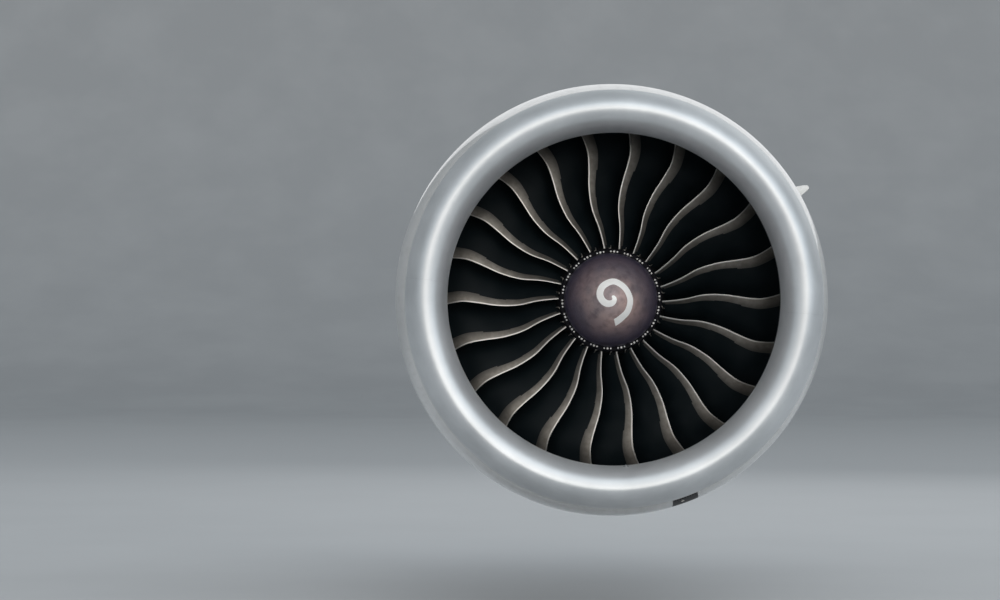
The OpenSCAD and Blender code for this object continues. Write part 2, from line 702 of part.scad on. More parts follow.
// Axial and clockwise offsets of the camber line at share s of the chord, at span v
function camber(v, s) =
    let (a = curve(inlet_angle, v), d = curve(outlet_angle, v) - a, w = d * PI / 180,
        c = curve(blade_chord, v))
    [c * (sin(a + d * s) - sin(a)) / w, -c * (cos(a + d * s) - cos(a)) / w];
function camber_angle(v, s) = curve(inlet_angle, v) + (curve(outlet_angle, v) - curve(inlet_angle, v)) * s;
function half_thick(v, s) = edge_half + (curve(blade_thick, v) / 2 - edge_half) * 4 * s * (1 - s);
function hub_r_at(z) = hub_front_r + (hub_rear_r - hub_front_r) * z / blade_root_axial;
// A point of the blade at span v, chord share s, on side k (1 clockwise, -1 counter-clockwise)
function blade_at(v, s, k, sink = 0, spread = 0) =
    let (p = camber(v, s), q = camber_angle(v, s), h = k * (half_thick(v, s) + spread),
         z = p[0] - h * sin(q), t = p[1] + h * cos(q),
         hub = hub_r_at(z), r = hub * (1 - v) + fan_tip_r * v - sink,
         at = curve(leading_clock, v) + (t / (r + sink)) * 180 / PI)
    [r * sin(at), -r * cos(at), blade_station + curve(leading_station, v) + z];
// A point of the dovetail at depth row d, length share s, side k
function tail_at(d, s, k) =
    let (along = disk_length * s, side = k * d[1] / cos(tail_skew) + (s - 0.5) * disk_length * tan(tail_skew),
         c = root_clock_mid)
    [d[0] * sin(c) + side * cos(c), -d[0] * cos(c) + side * sin(c), disk_front + along];
root_clock_mid = 9.4 + (203 / 2) / 555 * 180 / PI;
chord_shares = steps(0, 1, chord_steps);
function ring_of(f) = concat([for (s = chord_shares) f(s, 1)], [for (s = back(chord_shares)) f(s, -1)]);
blade_rings = concat(
    [for (d = tail_depth) ring_of(function(s, k) tail_at(d, s, k))],
    [ring_of(function(s, k) blade_at(0, s, k, 20))],
    [for (v = span_shares) ring_of(function(s, k) blade_at(v, s, k))]);
// Triangles of a loft through equal rings, with its two ends closed
function loft_faces(rows, m) = concat(
    [for (i = [0:rows - 2]) for (j = [0:m - 1]) let (a = i * m + j, b = i * m + (j + 1) % m) [a, b, b + m]],
    [for (i = [0:rows - 2]) for (j = [0:m - 1]) let (a = i * m + j, b = i * m + (j + 1) % m) [a, b + m,
        a + m]],
    [for (j = [0:m / 2 - 2]) for (f = [[j, m - 1 - j, j + 1], [j + 1, m - 1 - j, m - 2 - j]])
        if (f[1] != f[2]) f],
    [for (j = [0:m / 2 - 2]) let (o = (rows - 1) * m)
        for (f = [[o + j, o + j + 1, o + m - 1 - j], [o + j + 1, o + m - 2 - j, o + m - 1 - j]])
            if (f[0] != f[1]) f]);
ring_size = 2 * (chord_steps + 1);
module loft(rings, m) {
    polyhedron([for (r = rings) for (p = r) p], loft_faces(len(rings), m));
}
module fan_blades() {
    color("black") on_axis() for (i = [0:blade_count - 1]) rotate([0, 0, i * pitch]) loft(blade_rings,
        ring_size);
}
platform_gap = 0.9;
platform_t = 14;
function platform_ring(sink) = concat(
    [for (s = chord_shares) blade_at(0, s, 1, sink, platform_gap)],
    [for (s = back(chord_shares)) let (p = blade_at(0, s, -1, sink, platform_gap))
        [p[0] * cos(pitch) - p[1] * sin(pitch), p[0] * sin(pitch) + p[1] * cos(pitch), p[2]]]);
module fan_platforms() {
    color("dimgray") on_axis() for (i = [0:blade_count - 1]) rotate([0, 0, i * pitch])
        loft([platform_ring(0.2), platform_ring(platform_t)], ring_size);
}
slot_widths = [for (i = [0:len(tail_depth) - 1]) let (d = tail_depth[i])
    [d[1] + fit, d[0] + (i == 0 ? -fit : i == len(tail_depth) - 1 ? 20 : 0)]];
slot_profile = concat([for (w = slot_widths) [w[0], -w[1]]], [for (w = back(slot_widths)) [-w[0], -w[1]]]);
module fan_disk() {
    bore = disk_bore;
    color("lightsteelblue") on_axis() difference() {
        turn([[bore, web_z - 60], [bore + 60, web_z - 60], [bore + 90, web_z - 20], [310, web_z - 20],
              [330, disk_front], [disk_rim_r, disk_front], [disk_rim_r, disk_front + disk_length],
              [330, disk_front + disk_length], [310, disk_front + disk_length - 60], [bore + 90, web_z + 60],
              [bore + 60, web_end], [bore, web_end]]);
        for (i = [0:blade_count - 1]) rotate([0, 0, i * pitch + root_clock_mid])
            translate([0, 0, disk_front + disk_length / 2]) rotate([0, tail_skew, 0])
                translate([0, 0, -disk_length]) linear_extrude(2 * disk_length) polygon(slot_profile);
    }
}
module fan_shaft() {
    z = web_end + fit;
    b = low_shaft_r - shaft_wall;
    tail = rear_bearing_seat + bearing_w + 20;
    color("lightsteelblue") on_axis() turn([
        [disk_bore, z], [disk_bore + 60, z], [disk_bore + 60, z + 16], [disk_bore + 30, z + 30],
        [low_shaft_r + 40, z + 320], [low_shaft_r, z + 420], [low_shaft_r, tail], [b, tail],
        [b, z + 420], [low_shaft_r + 10, z + 320], [disk_bore, z + 30]]);
}

// Booster, compressor and turbines
spool_front = disk_front + disk_length + fit;
drum_t = 14;
booster_rows = [2215, 2330, 2440];
function booster_out(z) = z < 2400 ? booster_r : booster_r - 25 * (z - 2400) / (hub_frame_front - 2400);
module booster_rotor() {
    e = hub_frame_front - 12;
    color("slategray") on_axis() {
        turn([[340, spool_front], [disk_rim_r - 20, spool_front], [disk_rim_r - 20, spool_front + 14],
              [hub_rear_r - 30, spool_front + 30], [hub_rear_r - 6, spool_front + 22], [hub_rear_r + 2,
                  spool_front + 26],
              [booster_drum_r, spool_front + 130], [booster_drum_r, e], [booster_drum_r - drum_t, e],
              [booster_drum_r - drum_t, spool_front + 140], [hub_rear_r - 14, spool_front + 50], [360,
                  spool_front + 30],
              [340, spool_front + 14]]);
        for (z = booster_rows)
            vane_row(booster_blades, z, 62, 8, 38, booster_drum_r + fit, booster_out(z + 50) - clear);
    }
}
function compressor_out(z) = compressor_r + (compressor_exit_r - compressor_r) * (z - compressor_front)
    / (combustor_front - compressor_front);
function compressor_drum(z) = compressor_hub_r + (compressor_exit_hub_r - compressor_hub_r)
    * (z - compressor_front) / (combustor_front - compressor_front);
compressor_rows = [for (i = [0:5]) compressor_front + 40 + 125 * i];
high_joint = combustor_front + 190;
module high_compressor_rotor() {
    a = compressor_front + 6;
    e = combustor_front - 12;
    b = high_shaft_r - shaft_wall;
    color("steelblue") on_axis() {
        rotate_extrude($fn = round_fn) {
            polygon([[compressor_drum(a), a], [compressor_drum(e), e], [compressor_drum(e) - drum_t, e],
                     [compressor_drum(a) - drum_t, a]]);
            for (z = compressor_rows) translate([b + 80, z + 14]) square([compressor_drum(z)
                - drum_t / 2 - b - 80, 12]);
            polygon([[compressor_drum(a) - drum_t / 2, a + 1], [high_shaft_r, a + 60], [high_shaft_r,
                rear_bearing_station - 10],
                     [b, rear_bearing_station - 10], [b, a + 76], [compressor_drum(a) - drum_t / 2, a + 16]]);
            polygon([[compressor_drum(e) - drum_t + 1, e - 14], [high_shaft_r, e + 60], [high_shaft_r,
                high_joint],
                     [b, high_joint], [b, e + 40], [compressor_drum(e) - drum_t + 1, e - 30]]);
            translate([high_shaft_r - 1, high_joint - 12]) square([flange, 12]);
        }
        for (z = compressor_rows)
            vane_row(compressor_blades, z, 46, 7, 40, compressor_drum(z + 46 * cos(40)) + fit,
                compressor_out(z + 40) - clear);
    }
}
high_disk_station = turbine_front + 100;
module high_turbine_rotor() {
    z = high_disk_station;
    b = high_shaft_r - shaft_wall;
    hub = low_shaft_r + running_gap;
    color("sienna") on_axis() {
        turn([[b, high_joint + fit], [high_shaft_r + flange, high_joint + fit], [high_shaft_r + flange,
            high_joint + 12],
              [high_shaft_r, high_joint + 12], [high_shaft_r, z - 30], [high_shaft_r + 30, z],
                  [turbine_hub_r - 30, z + 14],
              [turbine_hub_r, z], [turbine_hub_r, z + 62], [turbine_hub_r - 30, z + 48],
                  [high_shaft_r + 30, z + 62],
              [high_shaft_r, z + 110], [high_shaft_r, z + 150], [hub, z + 150], [hub, z + 90], [b, z + 80]]);
        vane_row(turbine_blades, z, 56, 16, 36, turbine_hub_r + fit, turbine_entry_r - clear);
    }
}
low_rows = [for (i = [0:3]) low_turbine_front + 110 + 190 * i];
rim_path = steps(low_rows[0] - 20, rear_frame_front - 12, 8);
rim_table = [for (z = rim_path)
    [z, blend(turbine_hub_r, plug_r - 4, (z - low_turbine_front) / (rear_frame_front - low_turbine_front))]];
function low_rim(z) = lookup(z, rim_table);
module low_turbine_rotor() {
    seat = low_shaft_r + fit;
    mid = low_rows[2] + 30;
    color("sienna") on_axis() {
        rotate_extrude($fn = round_fn) {
            polygon(between([for (z = rim_path) [low_rim(z), z]], [for (z = rim_path) [low_rim(z)
                - drum_t, z]]));
            for (z = low_rows) translate([240, z + 24]) square([low_rim(z) - drum_t / 2 - 240, 12]);
            polygon([[low_rim(mid) - drum_t / 2, mid - 6], [seat + 30, mid + 80], [seat + 30,
                mid + 180], [seat, mid + 180],
                     [seat, mid + 60], [low_rim(mid) - drum_t / 2, mid - 22]]);
        }
        for (z = low_rows)
            vane_row(turbine_blades, z, 70, 14, 30, low_rim(z + 70 * cos(30)) + fit, turbine_wall(z) - clear);
    }
}
module bearings() {
    slip = 0.2;
    color("gold") on_axis() {
        ring(low_shaft_r + running_gap, low_bearing_r - slip, front_bearing_station,
            front_bearing_station + bearing_w);
        ring(high_shaft_r + running_gap, high_bearing_r - slip, rear_bearing_station,
            rear_bearing_station + bearing_w);
        ring(low_shaft_r + running_gap, low_bearing_r - slip, rear_bearing_seat,
            rear_bearing_seat + bearing_w);
    }
}
module unison_rings() {
    color("silver") on_axis() for (i = [0:3]) {
        z = compressor_front + 70 + 100 * i;
        r = compressor_out(z) + case_wall + fit;
        ring(r, r + 16, z, z + 20);
        for (k = [0:23]) at_clock(k * 15, r + 16 - 1, z + 10) rotate([90, 0, 0]) cylinder(r = 5, h = 9,
            $fn = 24);
    }
}

// Accessories on the fan case
gearbox_front = 1890;
gearbox_in_r = case_flange_r + fit;
gearbox_out_r = gearbox_in_r + 150;
pad_r = gearbox_in_r + 75;
starter_clock = 166;
generator_clock = 192;
pump_clocks = [176, 204];
drive_station = 2572;
drive_r = 24;
module accessory_gearbox() {
    color("darkgray") on_axis() {
        ring(gearbox_in_r, gearbox_out_r, gearbox_front, gearbox_front + gearbox_w, 158, 210);
        for (c = [starter_clock, pump_clocks[0], generator_clock, pump_clocks[1]])
            at_clock(c, pad_r, gearbox_front - 20) cylinder(r = 62, h = 30, $fn = small_fn);
        at_clock(180, pad_r, gearbox_front + gearbox_w - 10) cylinder(r = 46, h = 40, $fn = small_fn);
    }
}
module pad_unit(clock, radius, length, neck) {
    on_axis() at_clock(clock, pad_r, gearbox_front - 20 - fit - length)
        rotate_extrude($fn = 64) polygon([[0, 0], [radius * 0.7, 0], [radius, radius * 0.3], [radius,
            length - neck],
            [radius * 0.8, length - neck], [radius * 0.8, length - 12], [58, length - 12], [58, length],
                [0, length]]);
}
module starter() { color("silver") pad_unit(starter_clock, 82, 250, 60); }
module generator() { color("dimgray") pad_unit(generator_clock, 88, 310, 40); }
module gearbox_pumps() {
    color("slategray") for (c = pump_clocks) pad_unit(c, 62, 170, 60);
}
module radial_drive_housing() {
    box_r = case_out_r + fit;
    tube_r = pad_r;
    z0 = gearbox_front + gearbox_w + 30 + fit;
    color("lightslategray") on_axis() {
        at_clock(180, vane_hub_r + fit, drive_station - 26) rotate([90, 0, 0])
            linear_extrude(duct_r - vane_hub_r - 1)
            polygon([[0, 0], [12, 8], [20, 28], [18, 50], [0, 92], [-18, 50], [-20, 28], [-12, 8]]);
        at_clock(180, duct_r - 10, drive_station) rotate([90, 0, 0]) cylinder(r = drive_r,
            h = box_r - duct_r + 20, $fn = small_fn);
        at_clock(180, box_r + 0.6, drive_station - 40) translate([-60, -130, 0]) cube([120, 130, 76]);
        at_clock(180, tube_r, z0) cylinder(r = 34, h = drive_station - 30 - z0, $fn = small_fn);
    }
}
tank_clock = 292;
tank_station = 2250;
tank_height = case_out_r + 15 + oil_tank_r;
module oil_tank() {
    color("darkgray") on_axis() at_clock(tank_clock, tank_height, tank_station) {
        rotate([0, 90, 0]) translate([0, 0, -oil_tank_l / 2]) rotate_extrude($fn = 64)
            polygon([[0, 0], [oil_tank_r * 0.6, 4], [oil_tank_r * 0.9, 24], [oil_tank_r, 60],
                [oil_tank_r, oil_tank_l - 60],
                     [oil_tank_r * 0.9, oil_tank_l - 24], [oil_tank_r * 0.6, oil_tank_l - 4], [0,
                         oil_tank_l]]);
        for (x = [-0.3, 0.3]) translate([x * oil_tank_l - 10, 20, -60])
            difference() {
                cube([20, oil_tank_r + 34, 120]);
                translate([10 - x * oil_tank_l, tank_height - 20, -10]) cylinder(r = case_out_r + fit,
                    h = 200, $fn = round_fn);
            }
    }
}
unit_clock = 62;
unit_size = [420, 110, 300];
module engine_control_unit() {
    foot = case_out_r + 30;
    color("darkslategray") on_axis() at_clock(unit_clock, foot, 2080) {
        translate([-unit_size[0] / 2, -unit_size[1], 0]) cube(unit_size);
        for (k = [0:5]) translate([-unit_size[0] / 2 + 30 + 65 * k, -unit_size[1] - 12, 20]) cube([30,
            14, unit_size[2] - 40]);
        for (x = [-150, 120]) for (z = [20, unit_size[2] - 50]) difference() {
            translate([x, -10, z]) cube([30, 46, 30]);
            translate([0, foot, -20]) cylinder(r = case_out_r + fit, h = unit_size[2] + 40, $fn = round_fn);
        }
    }
}

// Mounts and thrust links
link_x = 155;
link_y = 900;
link_r = 28;
eye_r = 36;
eye_w = 30;
pin_r = 15;
link_front = 2790;
link_end = 5440;
mount_t = 40;
// Two cheeks and a pin for each thrust link, rising from a ring of the given radius
module clevis(z, ring_r) {
    foot = sqrt(ring_r * ring_r - link_x * link_x) - 12;
    for (s = [-1, 1]) {
        for (k = [-1, 1]) translate([s * link_x + k * (eye_w / 2 + 7) - 6, -link_y - 30, z - 30])
            cube([12, link_y + 30 - foot, 60]);
        translate([s * link_x, -link_y, z]) rotate([0, 90, 0]) cylinder(r = pin_r, h = eye_w + 26,
            center = true, $fn = small_fn);
    }
}
module thrust_links() {
    color("lightsteelblue") on_axis() for (s = [-1, 1]) difference() {
        translate([s * link_x, -link_y, 0]) {
            translate([0, 0, link_front + eye_r - 3])
                cylinder(r = link_r, h = link_end - link_front - 2 * eye_r + 6, $fn = small_fn);
            for (z = [link_front, link_end]) translate([0, 0, z]) rotate([0, 90, 0])
                cylinder(r = eye_r, h = eye_w, center = true, $fn = small_fn);
        }
        for (z = [link_front, link_end]) translate([s * link_x, -link_y, z]) rotate([0, 90, 0])
            cylinder(r = pin_r + fit, h = 3 * eye_w, center = true, $fn = small_fn);
    }
}
// A mount with a flat, drilled platform on a waisted pillar that sits on a ring
module pillar_mount(z0, z1, seat_r, top, half_w, bolt_x, bolt_y, hole_r, station) {
    plate_x = bolt_x + 80;
    plate_y = bolt_y + 70;
    difference() {
        union() {
            translate([-plate_x / 2, -top, station - plate_y / 2]) cube([plate_x, mount_t, plate_y]);
            translate([0, -top + mount_t - 1, z0]) linear_extrude(z1 - z0)
                polygon([[-plate_x / 2 + 10, 0], [plate_x / 2 - 10, 0], [half_w, 40], [half_w, top - seat_r],
                         [-half_w, top - seat_r], [-half_w, 40]]);
        }
        translate([0, 0, z0 - 50]) cylinder(r = seat_r + fit, h = z1 - z0 + 100, $fn = round_fn);
        for (x = [-1, 1]) for (y = [-1, 1])
            translate([x * bolt_x / 2, -top - 10, station + y * bolt_y / 2]) rotate([-90, 0, 0])
                cylinder(r = hole_r, h = mount_t + 20, $fn = small_fn);
    }
}
aft_mount_station = 5500;
aft_mount_top = 1040;
module forward_mount() {
    color("slategray") on_axis()
        pillar_mount(mount_station - 60, mount_station - 24, passage_outer_r + hub_wall, mount_height, 100,
                     mount_bolt_x, mount_bolt_y, mount_hole_r, mount_station);
}
module aft_mount() {
    color("slategray") on_axis()
        pillar_mount(aft_mount_station - 18, aft_mount_station + 18, turbine_r + case_wall + 10,
            aft_mount_top, 90,
                     aft_bolt_x, aft_bolt_y, aft_hole_r, aft_mount_station);
}

// Hinge rails over the fan case, which the cowls and reversers hang on
hinge_y = 1955;
knuckle_r = 24;
hinge_pin_r = 12;
lug_t = 16;
rail_in = 145;
rail_out = 185;
rail_low = 1845;
rail_high = 1915;
rail_front = inlet_length + 12;
rail_end = 3420;
cowl_hinges = [1560, 2050, 2540];
reverser_hinges = [2775, 3360];
// Flat web of a hinge lug, from the rail out to the knuckle
lug_outline = [[rail_out - 10, -rail_high], [rail_out - 10, -rail_high + 50],
    [hinge_x + knuckle_r * 0.55, -hinge_y + knuckle_r * 0.8], [hinge_x - knuckle_r * 0.55,
        -hinge_y - knuckle_r * 0.8]];
module hinge_beam() {
    ties = [for (z = ring_stations) z + 6];
    color("darkgray") on_axis() {
        for (s = [-1, 1]) {
            translate([s > 0 ? rail_in : -rail_out, -rail_high, rail_front]) cube([rail_out - rail_in,
                rail_high - rail_low, rail_end - rail_front]);
            for (z = concat(cowl_hinges, reverser_hinges)) {
                translate([s * hinge_x, -hinge_y, z]) cylinder(r = knuckle_r, h = lug_t, $fn = small_fn);
                translate([0, 0, z]) linear_extrude(lug_t) polygon([for (p = lug_outline) [s * p[0], p[1]]]);
                translate([s * hinge_x, -hinge_y, z]) cylinder(r = hinge_pin_r, h = 2 * lug_t + 4,
                    $fn = small_fn);
            }
        }
        for (z = ties) difference() {
            translate([-rail_out + 5, -rail_low - 10, z]) cube([2 * rail_out - 10,
                rail_low + 10 - case_flange_r + 20, 14]);
            translate([0, 0, z - 1]) cylinder(r = case_flange_r + fit, h = 16, $fn = round_fn);
        }
    }
}
// Arm from a cowl's skin down to its hinge pin, in the inboard cowl's frame
module hinge_arm(z, skin_r, reach, half_w) {
    difference() {
        translate([0, 0, z + lug_t + 2]) linear_extrude(lug_t) hull() {
            translate([hinge_x, -hinge_y]) circle(knuckle_r, $fn = 32);
            rotate(asin((hinge_x + reach) / skin_r)) translate([-half_w, -skin_r - 8])
                square([2 * half_w, 6]);
        }
        translate([hinge_x, -hinge_y, z]) cylinder(r = hinge_pin_r + fit, h = 4 * lug_t, $fn = small_fn);
    }
}

// Fan cowls
cowl_front = inlet_length + cowl_gap;
cowl_rear = fan_cowl_end - cowl_gap;
cowl_top = asin((hinge_x - 20) / cowl_max_r);
cowl_bottom = 180 - asin(cowl_gap / 2 / cowl_max_r);
rib_stations = [1600, 2075, 2560];
door_from = 286;
door_to = 294;
door_front = 1700;
door_end = 1880;
latch_stations = [1600, 2100];
latch_aft = 2450;
latch_l = 150;
latch_w = 46;
latch_t = 12;
latch_gap = 0.6;
latch_level = outer_r(latch_stations[0]) - 1;
latch_tilt = atan((outer_r(latch_aft) - outer_r(latch_aft + latch_l)) / latch_l);
door_gap = 2;
door_knuckle_r = 4;
door_pin_r = 2;
door_hinge_gap = door_knuckle_r + fit;
door_axis_r = outer_r((door_front + door_end) / 2) - door_knuckle_r;
door_axis_clock = door_to - atan(door_hinge_gap / door_axis_r);
// Knuckle of the oil door's hinge, with its web towards the cowl (side 1) or the door (side -1)
module door_knuckle(z0, z1, side) {
    web = door_hinge_gap + 2;
    at_clock(door_axis_clock, door_axis_r, z0) {
        cylinder(r = door_knuckle_r, h = z1 - z0, $fn = small_fn);
        translate([side > 0 ? 0 : -web, 0, 0]) cube([web, door_knuckle_r, z1 - z0]);
    }
}
door_lugs = [[door_front + 20, door_front + 45], [door_end - 45, door_end - 20]];
module cowl_shell() {
    turn(skin_ring(cowl_front, cowl_rear, cowl_wall, 14), cowl_top, cowl_bottom);
    for (z = rib_stations)
        ring(outer_r(z) - cowl_wall - 22, outer_r(z) - cowl_wall + 5, z, z + 30, cowl_top + 3,
            cowl_bottom - 3);
    for (z = cowl_hinges) hinge_arm(z, outer_r(z) - 9, 60, 30);
}
module fan_cowl_inboard() { color("gainsboro") on_axis() cowl_shell(); }
// A latch handle, flush in the outboard cowl's lower edge, that turns on a pin along its outboard side
latch_x = -cowl_gap / 2 - 3 - latch_w;
latch_pin_r = 2.5;
module latch_pin(r, extra) {
    translate([latch_t / 2, -latch_t / 2, -extra]) cylinder(r = r, h = latch_l + 2 * extra, $fn = small_fn);
}
module latch(z, level, tilt) {
    translate([latch_x, level, z]) rotate([tilt, 0, 0]) difference() {
        union() {
            translate([latch_t / 2, -latch_t, 0]) cube([latch_w - latch_t / 2, latch_t, latch_l]);
            latch_pin(latch_t / 2, 0);
        }
        latch_pin(latch_pin_r + fit, 5);
    }
}
// The pocket that it lies in, open downwards and towards the other cowl
module latch_pocket(z, level, tilt) {
    translate([latch_x, level, z]) rotate([tilt, 0, 0])
        translate([-latch_gap, -latch_t - latch_gap, -latch_gap])
            cube([latch_w + 20, latch_t + 30, latch_l + 2 * latch_gap]);
}
module fan_cowl_outboard() {
    color("gainsboro") on_axis() difference() {
        mirror([1, 0, 0]) cowl_shell();
        ring(throat_r, cowl_max_r + 20, door_front, door_end, door_from, door_to);
        for (z = latch_stations) latch_pocket(z, latch_level, 0);
        latch_pocket(latch_aft, outer_r(latch_aft) - 1, latch_tilt);
    }
    color("gainsboro") on_axis() {
        for (z = latch_stations) translate([latch_x, latch_level, z]) latch_pin(latch_pin_r, 4);
        translate([latch_x, outer_r(latch_aft) - 1, latch_aft]) rotate([latch_tilt, 0, 0])
            latch_pin(latch_pin_r, 4);
    }
    color("gainsboro") on_axis() {
        for (z = door_lugs) door_knuckle(z[0], z[1], 1);
        at_clock(door_axis_clock, door_axis_r, door_lugs[0][0])
            cylinder(r = door_pin_r, h = door_lugs[1][1] - door_lugs[0][0], $fn = small_fn);
    }
}
module cowl_latches() {
    color("silver") on_axis() for (z = latch_stations) latch(z, latch_level, 0);
}
module cowl_latch_aft() {
    color("silver") on_axis() latch(latch_aft, outer_r(latch_aft) - 1, latch_tilt);
}
module oil_access_door() {
    side = atan(door_gap / cowl_max_r);
    edge = 2 * atan(door_hinge_gap / door_axis_r);
    color("gainsboro") on_axis() difference() {
        union() {
            turn(skin_ring(door_front + door_gap, door_end - door_gap, cowl_wall, 3), door_from + side,
                door_to - edge);
            door_knuckle(door_lugs[0][1] + fit, door_lugs[1][0] - fit, -1);
        }
        at_clock(door_axis_clock, door_axis_r, door_front) cylinder(r = door_pin_r + fit, h = 300,
            $fn = small_fn);
    }
}
// Strake on the inboard cowl, leaning downwards and turned a little across the flow
strake_clock = 59.65;
strake_front = 1640;
strake_end = 2460;
strake_t = 16;
strake_lean = 18;
strake_yaw = 7.2;
strake_outline = [[-80, 0], [0, 0], [60, 200], [150, 440], [180, 560], [194, 660], [192, 720], [172,
    775], [0, 820], [-80, 820]];
module cowl_strake() {
    middle = (strake_front + strake_end) / 2;
    color("whitesmoke") on_axis() at_clock(strake_clock, 0, 0) difference() {
        translate([0, -outer_r(middle), middle]) rotate([0, -strake_yaw, 0]) rotate([0, 0, strake_lean])
            translate([-strake_t / 2, 0, strake_front - middle]) rotate([0, 90, 0]) rotate([0, 0, 90])
                linear_extrude(strake_t) polygon([for (p = strake_outline) [-p[0], p[1]]]);
        turn(concat([[0, strake_front - 100]],
                    [for (z = steps(strake_front - 100, strake_end + 100, 10)) [outer_r(z) + fit, z]],
                    [[0, strake_end + 100]]));
    }
}

// Thrust reverser
rev_front = fan_cowl_end + cowl_gap;
torque_end = rev_front + 100;
beam_from = 7.3;
beam_to = 9.6;
low_beam_from = 178.3;
low_beam_to = 179.93;
slide_gap = 0.012;
sleeve_front = torque_end + 6;
cascade_front = torque_end + fit;
cascade_end = sleeve_front + sleeve_travel + 30;
sleeve_room = outer_r(cascade_end) - cowl_wall - duct_r - duct_wall;
cascade_in_r = duct_r + duct_wall + sleeve_room * 0.2;
cascade_out_r = duct_r + duct_wall + sleeve_room * 0.52;
wall_x = slot_half_w;
wall_t = 16;
rev_beam_end = nozzle_station - 140;
module reverser_half() {
    zs = steps(rev_front, core_cowl_end, 14);
    bz = steps(rev_front, rev_beam_end, 8);
    web = 0.5;
    difference() {
        turn([[duct_outer_r(rev_front), rev_front], [outer_r(rev_front), rev_front],
              [outer_r(torque_end), torque_end], [duct_outer_r(torque_end), torque_end]], beam_from,
                  low_beam_to);
        turn([[duct_outer_r(rev_front) + 20, rev_front + 14], [outer_r(rev_front) - cowl_wall,
            rev_front + 14],
              [outer_r(torque_end) - cowl_wall, torque_end - 14], [duct_outer_r(torque_end) + 20,
                  torque_end - 14]],
             beam_from + 1, low_beam_to - 1);
    }
    for (c = [[beam_from, beam_to, beam_to - web], [low_beam_from, low_beam_to, low_beam_from]]) {
        difference() {
            turn(between([for (z = bz) [outer_r(z), z]], [for (z = bz) [outer_r(z) - cowl_wall, z]]),
                c[0], c[1]);
            for (z = reverser_hinges) translate([hinge_x - 80, -hinge_y - 80, z - 6])
                cube([80 + knuckle_r + 4, 130, 2 * lug_t + 14]);
        }
        turn(between([for (z = bz) [duct_outer_r(z) + duct_wall, z]], [for (z = bz) [duct_outer_r(z),
            z]]), c[0], c[1]);
        turn(between([for (z = bz) [outer_r(z) - 5, z]], [for (z = bz) [duct_outer_r(z) + 5, z]]), c[2],
            c[2] + web);
    }
    turn(between([for (z = zs) [duct_inner_r(z), z]], [for (z = zs) [duct_inner_r(z) - duct_wall, z]]),
        12.4, low_beam_to - 0.2);
    // Upper duct wall beside the pylon slot, and the lower one
    intersection() {
        translate([wall_x, -duct_r - 5, rev_front]) cube([wall_t, duct_r - vane_hub_r + 60,
            rev_beam_end - rev_front]);
        turn(between([for (z = bz) [duct_outer_r(z) + 6, z]], [for (z = bz) [duct_inner_r(z)
            - duct_wall / 2, z]]), 0, 60);
    }
    intersection() {
        translate([14, vane_hub_r - 60, rev_front]) cube([wall_t, duct_r - vane_hub_r + 66,
            rev_beam_end - rev_front]);
        turn(between([for (z = bz) [duct_outer_r(z) + 6, z]], [for (z = bz) [duct_inner_r(z)
            - duct_wall / 2, z]]), 150, 180);
    }
    for (z = reverser_hinges) hinge_arm(z, outer_r(z) - 9, 25, 18);
}
module reverser_inboard() { color("lightgray") on_axis() reverser_half(); }
module reverser_outboard() { color("lightgray") on_axis() mirror([1, 0, 0]) reverser_half(); }
cascade_rows = 6;
cascade_baskets = 5;
module cascade_half() {
    from = beam_to + 3;
    to = low_beam_from - 2;
    step = (to - from) / cascade_baskets;
    row = (cascade_end - cascade_front - 60) / cascade_rows;
    difference() {
        ring(cascade_in_r, cascade_out_r, cascade_front, cascade_end, from, to);
        for (b = [0:cascade_baskets - 1]) for (k = [0:cascade_rows - 1]) {
            z = cascade_front + 30 + row * k + 8;
            w = row - 16;
            turn([[cascade_in_r - 5, z + 30], [cascade_out_r + 5, z - 4], [cascade_out_r + 5, z + w - 26],
                  [cascade_in_r - 5, z + w]], from + step * b + 0.8, from + step * (b + 1) - 0.8);
        }
    }
}
module cascades_inboard() { color("dimgray") on_axis() cascade_half(); }
module cascades_outboard() { color("dimgray") on_axis() mirror([1, 0, 0]) cascade_half(); }
sleeve_solid = 420;
module sleeve_half() {
    a = beam_to + slide_gap;
    b = low_beam_from - slide_gap;
    closed = nozzle_station - sleeve_solid;
    skin = steps(sleeve_front, nozzle_station, 14);
    outer = [for (z = skin) [outer_r(z), z]];
    inner = [for (z = back(skin)) [duct_outer_r(z), z]];
    hollow_z = steps(sleeve_front - 1, closed, 8);
    difference() {
        turn(concat(outer, inner), a, b);
        turn(concat([for (z = hollow_z) [outer_r(z) - cowl_wall, z]], [for (z = back(hollow_z))
            [duct_outer_r(z) + duct_wall, z]]), a - 0.5, b + 0.5);
    }
}
module sleeve_inboard() { color("gainsboro") on_axis() sleeve_half(); }
module sleeve_outboard() { color("gainsboro") on_axis() mirror([1, 0, 0]) sleeve_half(); }

lip_upper();
lip_lower();
inlet_bulkheads();
inlet_outer_barrel();
inlet_inner_barrel();
anti_ice_tube();
anti_ice_outlet();
inlet_probe();
fan_case();
fan_case_liners();
outlet_guide_vanes();
fan_hub_frame();
splitter_nose();
booster_case();
compressor_case();
combustor_case();
combustor_liner();
fuel_nozzles();
turbine_nozzle();
turbine_case();
turbine_cooling_tubes();
turbine_rear_frame();
core_nozzle();
exhaust_plug();
accessory_gearbox();
starter();
generator();
gearbox_pumps();
oil_tank();
engine_control_unit();
radial_drive_housing();
forward_mount();
aft_mount();
thrust_links();
hinge_beam();
bearings();
spinner();
spinner_ring();
spinner_bolts();
fan_blades();
fan_platforms();
fan_disk();
fan_shaft();
booster_rotor();
low_turbine_rotor();
high_compressor_rotor();
high_turbine_rotor();
unison_rings();
fan_cowl_inboard();
fan_cowl_outboard();
cowl_strake();
cowl_latches();
cowl_latch_aft();
oil_access_door();
reverser_inboard();
reverser_outboard();
cascades_inboard();
cascades_outboard();
sleeve_inboard();
sleeve_outboard();
